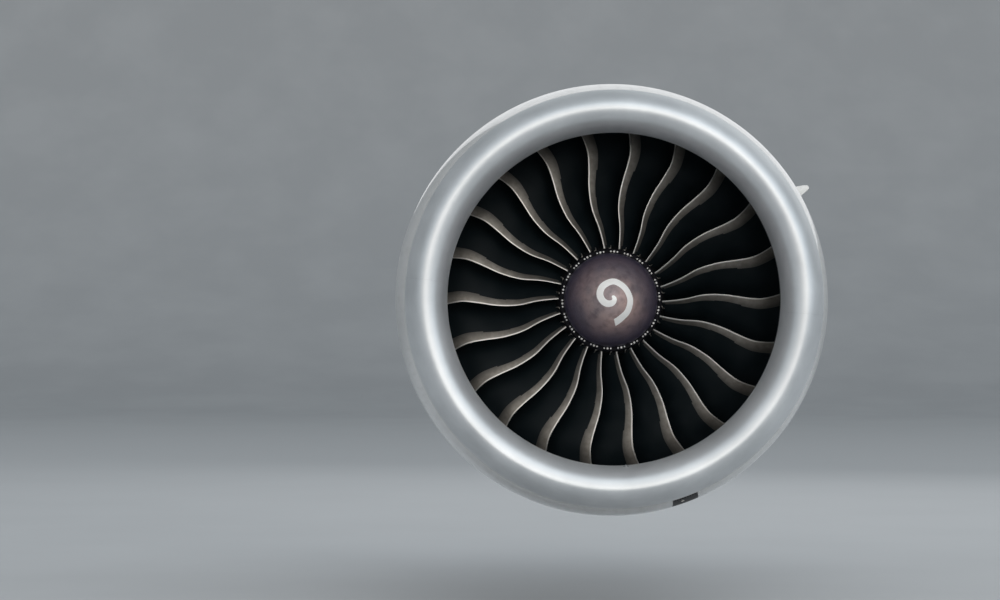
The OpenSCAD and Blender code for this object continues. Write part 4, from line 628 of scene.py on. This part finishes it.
# %% [markdown]
# The white spiral warns people that the fan is turning. It is a stripe of paint, so it is a thin ribbon
# that lies on the dome. Its middle line is a smooth curve through a few points, seen from the front, and
# each point has the ribbon's half width there. The last one lies past the end, for the cut.

# %% Middle line of the spiral
SPIRAL = [((-0.005, 0.034), 0.011), ((0.016, 0.006), 0.020), ((-0.001, -0.030), 0.027),
          ((-0.047, -0.039), 0.031), ((-0.095, -0.008), 0.031), ((-0.117, 0.056), 0.031),
          ((-0.083, 0.128), 0.030), ((0.014, 0.166), 0.028), ((0.114, 0.106), 0.027), ((0.163, 0.002), 0.027),
          ((0.143, -0.103), 0.028), ((0.084, -0.169), 0.030), ((0.0225, -0.2133), 0.032)]
SPIRAL_BEYOND, SPIRAL_STEPS = ((-0.045, -0.246), 0.034), 10


def smooth_path(points, steps):
    path = []
    for i in range(len(points) - 1):
        p0, p1, p2, p3 = (points[max(0, min(len(points) - 1, i + k))] for k in (-1, 0, 1, 2))
        for s in range(steps + (i == len(points) - 2)):
            t = s / steps
            path.append(0.5 * (2 * p1 + (p2 - p0) * t + (2 * p0 - 5 * p1 + 4 * p2 - p3) * t * t
                               + (3 * p1 - p0 - 3 * p2 + p3) * t ** 3))
    return path


spiral_path = smooth_path([Vector((x, y, w)) for (x, y), w in SPIRAL + [SPIRAL_BEYOND]], SPIRAL_STEPS)
print("points on the spiral:", len(spiral_path))

# %% [markdown]
# Each point of the line gets a short row of corners across it, and the corners are dropped onto the dome.
# Bridging the rows makes the ribbon. A plane cuts its tail off straight, and the start is rounded.

# %% Safety spiral
SPIRAL_CUT = (Vector((0.0142, -0.1815)), Vector((0.0308, -0.2451)))
PAINT_FILM, ROW_PARTS, HEAD_LENGTH, HEAD_POINTS, TAIL_BELOW = 0.0006, 6, 0.012, 12, 0.14
RIBBON_MERGE = 1e-5
spiral_shape = bmesh.new()
rows = []
for i, point in enumerate(spiral_path):
    before, after = spiral_path[max(i - 1, 0)], spiral_path[min(i + 1, len(spiral_path) - 1)]
    ahead = (after.xy - before.xy).normalized()
    across = Vector((-ahead.y, ahead.x))
    travelled = (point.xy - spiral_path[0].xy).length
    rounding = math.sqrt(1 - (1 - min(travelled / HEAD_LENGTH, 1)) ** 2) if i < HEAD_POINTS else 1
    width = point.z * rounding
    left, right = point.xy + across * width, point.xy - across * width
    row = []
    for share in even(0, 1, ROW_PARTS):
        flat = left.lerp(right, share)
        station = dome_station(flat.length) - PAINT_FILM
        row.append(spiral_shape.verts.new((flat.x, station - MOUNT_STATION, flat.y + AXIS_HEIGHT)))
    rows.append([spiral_shape.edges.new(pair) for pair in zip(row, row[1:])])
for first, second in zip(rows, rows[1:]):
    bmesh.ops.bridge_loops(spiral_shape, edges=first + second)
cut_along = (SPIRAL_CUT[1] - SPIRAL_CUT[0]).normalized()
tail = [face for face in spiral_shape.faces if face.calc_center_median().z < AXIS_HEIGHT - TAIL_BELOW]
tail_parts = {part for face in tail for part in (face, *face.edges, *face.verts)}
bmesh.ops.bisect_plane(spiral_shape, geom=list(tail_parts),
                       plane_co=at(0, 0, 0) + Vector((SPIRAL_CUT[0].x, 0, SPIRAL_CUT[0].y)),
                       plane_no=(cut_along.y, 0, -cut_along.x), clear_outer=True)
bmesh.ops.remove_doubles(spiral_shape, verts=spiral_shape.verts, dist=RIBBON_MERGE)
bmesh.ops.recalc_face_normals(spiral_shape, faces=spiral_shape.faces)
if sum(face.normal.y for face in spiral_shape.faces) > 0:
    bmesh.ops.reverse_faces(spiral_shape, faces=spiral_shape.faces)
bmesh.ops.solidify(spiral_shape, geom=spiral_shape.faces, thickness=PAINT_FILM * 2)
spiral_finish = Finish("white_marking_paint", (0.82, 0.82, 0.80), 0.0, 0.45)
scuffs = spiral_finish.noise(22.0, 4.0)
scuffed = spiral_finish.span(scuffs, 0.45, 0.8, 0.0, 0.6)
spiral_finish.colour(spiral_finish.mix(scuffed, (0.94, 0.94, 0.93), (0.84, 0.83, 0.81)))
spiral_finish.bump(scuffs, 0.05, 0.0005)
add_piece("spinner_spiral", spiral_shape, FAN_SPOOL, "spinner_paint", [spiral_finish.material])

# %% [markdown]
# The fan blade is the hardest piece. Its section at any height is a thin aerofoil on a circular arc, and
# the tables give how that arc's start, length, angles and thickness change from hub to tip. The solid has
# the same tables with few sections. Here there are many, so the edge curves without corners. A metal
# sheath wraps the leading edge: it stands half a millimetre proud, so its rear edge is a real step, and
# each point remembers how far along the chord and the span it lies for the finish to use.

# %% Fan blade sections
BLADE_COUNT, BLADE_STATION, FAN_TIP = 22, 1.440, 1.625
HUB_FRONT, HUB_REAR, ROOT_LENGTH = 0.491, 0.620, 0.470
LEADING_CLOCK = [(0, 9.4), (0.17, 7.4), (0.33, 5), (0.5, 5.3), (0.67, 6.9), (0.8, 7.6), (0.9, 7), (1, 5.9)]
LEADING_STATION = [(0, 0), (0.3, 12), (0.6, 22), (0.85, 30), (1, 60)]
CHORD = [(0, 520), (0.35, 590), (0.7, 620), (1, 560)]
INLET_ANGLE = [(0, 44), (0.35, 56), (0.7, 64), (1, 69)]
OUTLET_ANGLE = [(0, 2), (0.35, 34), (0.7, 52), (1, 62)]
THICKNESS = [(0, 60), (0.3, 34), (0.7, 18), (1, 10)]
SHEATH = [(0, 36), (0.35, 62), (0.7, 96), (1, 122)]
EDGE_HALF, SHEATH_PROUD, SHEATH_STEP, SHEATH_LIMIT = 0.0015, 0.0006, 0.0015, 2.2
NOSE_SHARES, SHEATH_POINTS, BODY_POINTS = [0.003, 0.010, 0.022, 0.045, 0.075], 4, 12


def curve(table, v):
    """A smooth curve through a table's points, the same one that shapes the solid."""
    def slope(k):
        a, b = table[max(k - 1, 0)], table[min(k + 1, len(table) - 1)]
        return (b[1] - a[1]) / (b[0] - a[0])
    i = max(k for k in range(len(table) - 1) if v >= table[k][0] or k == 0)
    h = table[i + 1][0] - table[i][0]
    u = (v - table[i][0]) / h
    return (table[i][1] * (1 + 2 * u) * (1 - u) ** 2 + table[i + 1][1] * u * u * (3 - 2 * u)
            + h * u * (1 - u) * (slope(i) * (1 - u) - slope(i + 1) * u))


def blade_point(v, share, side, lift=0.0, sink=0.0, nose=0.0):
    """Point of the blade at span v and chord share, on the clockwise side (1) or the other (-1)."""
    start = math.radians(curve(INLET_ANGLE, v))
    bend = math.radians(curve(OUTLET_ANGLE, v)) - start
    chord = curve(CHORD, v) / 1000
    angle = start + bend * share
    axial = chord * (math.sin(angle) - math.sin(start)) / bend - nose * math.cos(start)
    round_ = -chord * (math.cos(angle) - math.cos(start)) / bend - nose * math.sin(start)
    half = EDGE_HALF + (curve(THICKNESS, v) / 2000 - EDGE_HALF) * 4 * share * (1 - share)
    h = side * (half + lift)
    z, t = axial - h * math.sin(angle), round_ + h * math.cos(angle)
    hub = HUB_FRONT + (HUB_REAR - HUB_FRONT) * z / ROOT_LENGTH
    radius = hub * (1 - v) + FAN_TIP * v - sink
    clock = curve(LEADING_CLOCK, v) + math.degrees(t / (radius + sink))
    return at(clock, radius, BLADE_STATION + curve(LEADING_STATION, v) / 1000 + z)


def section(v):
    """The section's points in order, each with its distance along the chord in millimetres."""
    chord = curve(CHORD, v)
    sheath = curve(SHEATH, v) / chord
    line = [(s, SHEATH_PROUD) for s in NOSE_SHARES + even(NOSE_SHARES[-1], sheath, SHEATH_POINTS)[1:]]
    line += [(s, 0.0) for s in even(sheath + SHEATH_STEP, 1.0, BODY_POINTS)]
    return line, chord


print("chord at mid span:", round(curve(CHORD, 0.5)), "mm")

# %% [markdown]
# The sections become rings of edges, and bridging each ring to the next makes the skin. The first and the
# last ring are filled. One spin operator that copies instead of sweeping then sets the other 21 blades.

# %% Build the fan
SPAN_RINGS, ROOT_SINK = 44, 0.020
NOSE_ANGLES = ((-1, 20), (-1, 55), (0, 90), (1, 55), (1, 20))
fan = bmesh.new()
chord_layer = fan.verts.layers.float.new("chord_mm")
span_layer = fan.verts.layers.float.new("span_share")


def blade_ring(v, sink=0.0):
    line, chord = section(v)
    corners = []
    path = [(s, -1, lift, 0.0) for s, lift in reversed(line)]
    path += [(0.0, side * math.cos(math.radians(a)), 0.0, EDGE_HALF * math.sin(math.radians(a)))
             for side, a in NOSE_ANGLES]
    path += [(s, 1, lift, 0.0) for s, lift in line]
    for share, side, lift, back in path:
        corner = fan.verts.new(blade_point(v, share, side, lift, sink, back))
        corner[chord_layer] = share * chord
        corner[span_layer] = v
        corners.append(corner)
    return [fan.edges.new(pair) for pair in zip(corners, corners[1:] + corners[:1])]


rings = [blade_ring(0.0, ROOT_SINK)] + [blade_ring(v) for v in even(0, 1, SPAN_RINGS)]
skin_over(fan, rings)
for face in fan.faces:
    chords = [corner[chord_layer] for corner in face.verts]
    limit = min(curve(SHEATH, corner[span_layer]) for corner in face.verts) + SHEATH_LIMIT
    face.material_index = 1 if max(chords) <= limit else 0


def repeat_round(shape):
    """Copy everything in the shape round the axis, once for each blade."""
    bmesh.ops.spin(shape, geom=shape.verts[:] + shape.edges[:] + shape.faces[:], cent=at(0, 0, 0),
                   axis=(0, 1, 0), dvec=(0, 0, 0), angle=math.radians(360 - 360 / BLADE_COUNT),
                   steps=BLADE_COUNT - 1, use_duplicate=True)


repeat_round(fan)
print("faces of the fan:", len(fan.faces))

# %% [markdown]
# Two finishes are on the blade. The body is black carbon fibre under a satin erosion coat. The sheath is bare
# titanium, mottled grey-brown, and smoother right at the nose, where dust strikes it. Its colour also carries
# painted light: a near-white painted highlight along the nose, painted shade behind it along the chord, and
# more painted shade towards the blade's root. A face's distance along the chord has chosen between the two
# finishes, and the same distance, stored on the mesh, places the painted highlight and shade and fades the
# polish.

# %% Blade finishes
carbon = Finish("black_carbon_blade", (0.006, 0.008, 0.010), 0.0, 0.40, specular_ior_level=0.35)
weave = carbon.noise(160.0, 3.0)
haze = carbon.noise(5.0, 4.0)
dusty = carbon.span(haze, 0.4, 0.75)
carbon.colour(carbon.mix(dusty, (0.003, 0.0065, 0.0085), (0.006, 0.010, 0.0125)))
carbon.rough(haze, 0.36, 0.50)
carbon.bump(weave, 0.05, 0.0004)
FINISHES["blade_composite"] = carbon.material

titanium = Finish("bare_titanium_sheath", (0.40, 0.395, 0.385), 1.0, 0.46)
chord_mm = titanium.add("ShaderNodeAttribute", {"attribute_name": "chord_mm"}).outputs["Fac"]
span_share = titanium.add("ShaderNodeAttribute", {"attribute_name": "span_share"}).outputs["Fac"]
blotch = titanium.noise(18.0, 5.0)
scratches = titanium.noise(5.0, 4.0)
wear_and_painted_shade = titanium.mix(titanium.span(blotch, 0.35, 0.70), (0.52, 0.48, 0.43), (0.36, 0.33, 0.29))
wear_and_painted_shade = titanium.mix(titanium.span(scratches, 0.5, 0.75, 0.0, 0.5), wear_and_painted_shade, (0.28, 0.255, 0.225))
# Painted shade: the sheath gets darker towards the blade's root, and darker aft along the chord behind the
# painted highlight.
wear_and_painted_shade = titanium.mix(titanium.span(span_share, 0.05, 0.55, 0.8, 0.0), wear_and_painted_shade, (0.070, 0.068, 0.066))
wear_and_painted_shade = titanium.mix(titanium.span(chord_mm, 22.0, 105.0, 0.0, 0.85), wear_and_painted_shade, (0.13, 0.125, 0.118))
# Painted highlight: the first millimetres of chord at the nose are near-white.
painted_nose_highlight = titanium.span(chord_mm, 8.0, 15.0)
titanium.colour(titanium.mix(painted_nose_highlight, (0.96, 0.93, 0.88), wear_and_painted_shade))
polish = titanium.span(chord_mm, 5.0, 18.0, 0.38, 0.52)
titanium.tree.links.new(polish, titanium.shader.inputs["Roughness"])
titanium.bump(blotch, 0.08, 0.0006)
add_piece("fan_blade_set", fan, FAN_SPOOL, "blade_composite", [carbon.material, titanium.material],
          ["fan_blades"])

# %% [markdown]
# Three white-capped bolts stand between each two blades, 66 in all. Each is a twelve-sided head on a round
# washer, made from two short cones, and the middle one of the three is a little larger.

# %% Spinner bolts
bolts = bmesh.new()
PITCH = 360 / BLADE_COUNT
BOLT_CIRCLE, BOLT_TURN, BOLT_STEP = 0.457, 2.7, 3.85
MIDDLE_HEAD, SIDE_HEAD, WASHER_DEPTH, HEAD_DEPTH = 0.0096, 0.0076, 0.0016, 0.0064
WASHER_FLARE, HEAD_FOOT, HEAD_TOP = 1.08, 0.86, 0.66
WASHER = dict(cap_ends=True, segments=16, depth=WASHER_DEPTH)
HEAD = dict(cap_ends=True, segments=12, depth=HEAD_DEPTH)
for gap in range(BLADE_COUNT):
    for place in (-1, 0, 1):
        clock = (gap + 0.5) * PITCH + LEADING_CLOCK[0][1] + BOLT_TURN + place * BOLT_STEP
        head = MIDDLE_HEAD if place == 0 else SIDE_HEAD
        seat = Matrix.Translation(at(clock, BOLT_CIRCLE, SPINNER_BASE))
        facing = seat @ Matrix.Rotation(math.pi / 2, 4, "X")
        on_seat = facing @ Matrix.Translation((0, 0, WASHER_DEPTH / 2))
        bmesh.ops.create_cone(bolts, radius1=head * WASHER_FLARE, radius2=head, matrix=on_seat, **WASHER)
        on_washer = facing @ Matrix.Translation((0, 0, WASHER_DEPTH + HEAD_DEPTH / 2))
        bmesh.ops.create_cone(bolts, radius1=head * HEAD_FOOT, radius2=head * HEAD_TOP, matrix=on_washer,
                              **HEAD)
add_piece("bolt_heads", bolts, FAN_SPOOL, "bolt_white", replaced=["spinner_bolts"])

# %% [markdown]
# Each platform between two blades ends in a bright worn strip. It starts on the spinner's ring, bends
# round the blade's root and runs aft beside it, so from the front it looks like a small hook. Its section is
# a low ridge that narrows to the tip. Behind the blades a thin polished band closes the hub.

# %% Platform strips and hub band
STRIP = [((3.7, 0.484, 1.434), 4.6), ((4.9, 0.4845, 1.434), 5.4), ((6.1, 0.487, 1.435), 5.6),
         ((6.9, 0.493, 1.440), 5.6), ((7.3, 0.502, 1.452), 5.4), ((7.5, 0.515, 1.492), 5.0),
         ((7.6, 0.533, 1.562), 4.0), ((7.65, 0.541, 1.600), 2.0)]
STRIP_SIDES, STRIP_STEPS, STRIP_FACING = 8, 4, Vector((0, -0.8, 0.6))
strips = bmesh.new()
strip_path = smooth_path([Vector((math.radians(c) * r, r, z, half / 1000)) for (c, r, z), half in STRIP],
                         STRIP_STEPS)
rings = []
for i, point in enumerate(strip_path):
    before, after = strip_path[max(i - 1, 0)], strip_path[min(i + 1, len(strip_path) - 1)]
    ahead = (after - before).xyz.normalized()
    radius = point[1]
    base = standing(LEADING_CLOCK[0][1] + math.degrees(point[0] / radius), radius, point[2])
    along = Vector((ahead[0], ahead[2], ahead[1]))
    aside = along.cross(STRIP_FACING).normalized()
    rise = aside.cross(along).normalized()
    turns = [2 * math.pi * k / STRIP_SIDES for k in range(STRIP_SIDES)]
    ring = [strips.verts.new(base @ (point[3] * (aside * math.cos(t) + rise * math.sin(t)))) for t in turns]
    rings.append([strips.edges.new(pair) for pair in zip(ring, ring[1:] + ring[:1])])
skin_over(strips, rings)
repeat_round(strips)
add_piece("platform_strips", strips, FAN_SPOOL, "case_alloy", WORN)
BAND_INNER, BAND_OUTER, BAND_FRONT, BAND_END = 0.6175, 0.6205, 1.903, 1.907
band = [(BAND_INNER, BAND_FRONT), (BAND_OUTER, BAND_FRONT), (BAND_OUTER, BAND_END), (BAND_INNER, BAND_END)]
add_piece("hub_band", turned(band, steps=180), FAN_SPOOL, "case_alloy", WORN)

# %% [markdown]
# The strake is a small fin on the inboard cowl that steers the air behind it at low speed. It is cut from a
# plate along a smooth line through a few points, yawed and leaned a little, and its edge is rounded.

# %% Cowl strake
STRAKE_CLOCK, STRAKE_FRONT, STRAKE_END, STRAKE_PLATE = 59.65, 1.640, 2.460, 0.016
STRAKE_LEAN, STRAKE_YAW, STRAKE_FOOT, STRAKE_ROUNDING = 18, 9.5, -0.020, 0.42
STRAKE_LINE = [(0, 0), (70, 200), (170, 440), (202, 560), (216, 660), (213, 720), (190, 775), (0, 820)]
STRAKE_STEPS = 6
strake_middle = (STRAKE_FRONT + STRAKE_END) / 2
fin = bmesh.new()
fin_line = [Vector((0, distance / 1000 - (strake_middle - STRAKE_FRONT), height / 1000))
            for height, distance in STRAKE_LINE]
fin_line = smooth_path(fin_line[:-1], STRAKE_STEPS) + fin_line[-1:]
foot = Vector((0, 0, STRAKE_FOOT))
fin_line = [fin_line[0] + foot] + fin_line + [fin_line[-1] + foot]
corners, edges = chain(fin, fin_line, closed=True)
side_face = bmesh.ops.edgeloop_fill(fin, edges=edges)["faces"]
thick = bmesh.ops.extrude_face_region(fin, geom=side_face, use_keep_orig=True)
bmesh.ops.translate(fin, verts=corners_in(thick), vec=(STRAKE_PLATE, 0, 0))
bmesh.ops.recalc_face_normals(fin, faces=fin.faces)
rims = [e for e in fin.edges if abs(e.verts[0].co.x - e.verts[1].co.x) < MERGE_DISTANCE]
bmesh.ops.bevel(fin, geom=rims, offset=STRAKE_PLATE * STRAKE_ROUNDING, segments=3, affect="EDGES",
                profile=0.5, material=-1)
bmesh.ops.translate(fin, verts=fin.verts, vec=(-STRAKE_PLATE / 2, 0, 0))
tilt = Matrix.Rotation(math.radians(STRAKE_YAW), 4, "Z") @ Matrix.Rotation(math.radians(STRAKE_LEAN), 4, "Y")
bmesh.ops.transform(fin, verts=fin.verts,
                    matrix=standing(STRAKE_CLOCK, outer_radius(strake_middle), strake_middle) @ tilt)
bmesh.ops.recalc_face_normals(fin, faces=fin.faces)
add_piece("strake_fin", fin, "cowl_inboard", "strake_paint", replaced=["cowl_strake"])

# %% [markdown]
# Behind, the core nozzle and the plug are bare formed sheet, blued and browned by the exhaust. Both are
# turned walls again, with more points than the solids, because bare metal shows every corner.

# %% Core nozzle and plug
REAR_FACE, CORE_END, PLUG_TIP, SHEET = 5.5903, 6.000, 6.850, 0.008
CORE_START_RADIUS, CORE_END_RADIUS, PLUG_RADIUS, TIP_RADIUS = 0.822, 0.720, 0.480, 0.030
PLUG_POWER, TIP_CAP, PLUG_WALL_SHARE = 1.25, 0.012, 0.995
core_line = [(soft_step(CORE_START_RADIUS, CORE_END_RADIUS, (z - REAR_FACE) / (CORE_END - REAR_FACE)), z)
             for z in even(REAR_FACE, CORE_END, 24)]
add_piece("core_nozzle_wall", turned(core_line + [(r - SHEET, z) for r, z in reversed(core_line)], steps=180),
          "engine", "nozzle_metal", replaced=["core_nozzle"])
plug_line = [(TIP_RADIUS + (PLUG_RADIUS - TIP_RADIUS) * math.cos(math.pi / 2 * u) ** PLUG_POWER,
              REAR_FACE + (PLUG_TIP - REAR_FACE) * u) for u in even(0, 1, 40)]
plug_outline = plug_line + [(0, PLUG_TIP + TIP_CAP), (0, PLUG_TIP - SHEET)]
plug_outline += [(r - SHEET, REAR_FACE + (z - REAR_FACE) * PLUG_WALL_SHARE) for r, z in reversed(plug_line)]
add_piece("plug_wall", turned(plug_outline, steps=150), "engine", "nozzle_metal", replaced=["exhaust_plug"])

# %% [markdown]
# The engine hangs over a plain pale floor at about its real height. The floor's far edge is raised into a
# wall, and a bevel operator rounds the fold into one soft sweep. Its colour gets darker with distance behind
# the engine, which is painted shade, as if the light fell off there.

# %% Floor and sweep
GROUND_CLEARANCE = 0.90
FLOOR, FLOOR_MIDDLE = AXIS_HEIGHT - WIDEST_RADIUS - GROUND_CLEARANCE, -15
FLOOR_HALF_WIDTH, FLOOR_HALF_LENGTH, SWEEP_RISE, SWEEP_ROUNDING = 150, 95, (0, 6, 40), 26
floor_shape = bmesh.new()
bmesh.ops.create_grid(floor_shape, x_segments=1, y_segments=1, size=1,
                      matrix=Matrix.Translation((0, FLOOR_MIDDLE, FLOOR))
                      @ Matrix.Diagonal((FLOOR_HALF_WIDTH, FLOOR_HALF_LENGTH, 1, 1)))
back_edge = [edge for edge in floor_shape.edges if all(corner.co.y > 0 for corner in edge.verts)]
raised = bmesh.ops.extrude_edge_only(floor_shape, edges=back_edge)
bmesh.ops.translate(floor_shape, verts=corners_in(raised), vec=SWEEP_RISE)
fold = [edge for edge in floor_shape.edges if len(edge.link_faces) == 2]
bmesh.ops.bevel(floor_shape, geom=fold, offset=SWEEP_ROUNDING, segments=24, affect="EDGES", profile=0.5,
                material=-1)
floor_mesh = bpy.data.meshes.new("floor")
floor_shape.to_mesh(floor_mesh)
floor_mesh.shade_smooth()
floor_shape.free()
floor = bpy.data.objects.new("floor", floor_mesh)
bpy.context.scene.collection.objects.link(floor)
PALE_UNTIL, DARK_FROM = 6.0, 60.0
floor_finish = Finish("pale_floor", (0.50, 0.51, 0.52), 0.0, 0.75)
depth = floor_finish.add("ShaderNodeSeparateXYZ", (), {0: floor_finish.place}).outputs[1]
# Painted shade: the floor and the sweep get darker farther back, behind the engine.
painted_falloff = floor_finish.span(depth, PALE_UNTIL, DARK_FROM)
tone = floor_finish.mix(painted_falloff, (0.48, 0.49, 0.50), (0.23, 0.24, 0.25))
worn_patches = floor_finish.span(floor_finish.noise(0.4, 3.0), 0.4, 0.7, 0.0, 0.15)
floor_finish.colour(floor_finish.mix(worn_patches, tone, (0.36, 0.37, 0.38)))
floor_mesh.materials.append(floor_finish.material)
print("floor at", round(FLOOR, 3))

# %% [markdown]
# The lamps are large and soft. One wide lamp stands behind the camera: its reflection is the bright ring
# on the lip's foremost circle. A second, high in front, lights the lower half of the inlet, and a third
# keeps the nozzle's end from going black.

# %% Lamps
ENGINE_MIDDLE = Vector((0, 0.7, AXIS_HEIGHT))


def lamp(name, spot, aim, width, height, power, colour=(1, 1, 1)):
    data = bpy.data.lights.new(name, "AREA")
    data.shape, data.size, data.size_y, data.energy, data.color = "RECTANGLE", width, height, power, colour
    made = bpy.data.objects.new(name, data)
    bpy.context.scene.collection.objects.link(made)
    made.location = spot
    made.rotation_euler = (Vector(aim) - Vector(spot)).to_track_quat("-Z", "Y").to_euler()


lamp("front_lamp", (5, -32, 1), (0, -2, AXIS_HEIGHT), 26, 16, 800, (1.0, 0.95, 0.89))
lamp("top_lamp", (2, -9, 14), ENGINE_MIDDLE, 16, 10, 170, (1.0, 0.99, 0.98))
lamp("rear_lamp", (5, 19, 7), ENGINE_MIDDLE, 22, 12, 560)
print("lamps:", len(bpy.data.lights))

# %% [markdown]
# The rest of the light comes from a plain sky. It is brighter and warmer in front of the engine than behind
# it, and brighter on the right of the picture. One ramp follows the light's direction from front to rear
# and one from side to side, and their product is the sky's strength.

# %% Sky
world = bpy.data.worlds.new("studio")
world.use_nodes = True
sky = world.node_tree
COOL, WARM = (0.84, 0.93, 1.0, 1), (1.0, 0.975, 0.94, 1)
direction = sky.nodes.new("ShaderNodeSeparateXYZ")
sky.links.new(sky.nodes.new("ShaderNodeTexCoord").outputs["Generated"], direction.inputs[0])


def ramp(axis, low, high, dim=0.0, bright=1.0):
    """A level that follows one axis of the direction that the light comes from."""
    node = sky.nodes.new("ShaderNodeMapRange")
    for key, value in (("From Min", low), ("From Max", high), ("To Min", dim), ("To Max", bright)):
        node.inputs[key].default_value = value
    sky.links.new(direction.outputs[axis], node.inputs["Value"])
    return node.outputs["Result"]


level = sky.nodes.new("ShaderNodeMath")
level.operation = "MULTIPLY"
sky.links.new(ramp(1, 0.5, -0.9, 0.26, 1.55), level.inputs[0])
sky.links.new(ramp(0, -1.0, 1.0, 0.62, 1.38), level.inputs[1])
sky.links.new(level.outputs[0], sky.nodes["Background"].inputs["Strength"])
tint = sky.nodes.new("ShaderNodeMix")
tint.data_type = "RGBA"
tint.inputs[6].default_value, tint.inputs[7].default_value = COOL, WARM
sky.links.new(ramp(1, -0.2, -0.95), tint.inputs[0])
sky.links.new(tint.outputs[2], sky.nodes["Background"].inputs["Color"])
bpy.context.scene.world = world
bpy.context.scene.view_settings.view_transform = "Standard"
print("sky nodes:", len(sky.nodes))

# %% [markdown]
# The camera stands 24 m in front of the lip, a little outboard and a little below the axis, with a long
# lens. In the picture the engine sits right of the middle, so the camera is turned and not shifted.

# %% Camera
PICTURE_WIDTH, PICTURE_HEIGHT, FOCAL_PIXELS = 1000, 600, 2688
CAMERA_DISTANCE, CAMERA_AZIMUTH, CAMERA_ELEVATION = 25.4, -1.7, -0.5
FAN_PIXEL, FAN_STATION, SENSOR_WIDTH, FARTHEST = (610.6, 300.0), 1.400, 36.0, 300
azimuth, elevation = math.radians(CAMERA_AZIMUTH), math.radians(CAMERA_ELEVATION)
fan_middle = at(0, 0, FAN_STATION)
outward = Vector((math.sin(azimuth) * math.cos(elevation), -math.cos(azimuth) * math.cos(elevation),
                  math.sin(elevation)))
camera_spot = fan_middle + CAMERA_DISTANCE * outward
camera_data = bpy.data.cameras.new("camera")
camera_data.sensor_width = SENSOR_WIDTH
camera_data.lens = SENSOR_WIDTH * FOCAL_PIXELS / PICTURE_WIDTH
camera_data.clip_end = FARTHEST
camera = bpy.data.objects.new("camera", camera_data)
bpy.context.scene.collection.objects.link(camera)
camera.location = camera_spot
towards_fan = (fan_middle - camera_spot).to_track_quat("-Z", "Y")
pan = Matrix.Rotation(math.atan((FAN_PIXEL[0] - PICTURE_WIDTH / 2) / FOCAL_PIXELS), 4, "Y")
tilt = Matrix.Rotation(math.atan((FAN_PIXEL[1] - PICTURE_HEIGHT / 2) / FOCAL_PIXELS), 4, "X")
camera.rotation_euler = (towards_fan.to_matrix().to_4x4() @ pan @ tilt).to_euler()
bpy.context.scene.camera = camera
print("camera at", tuple(round(v, 2) for v in camera_spot))
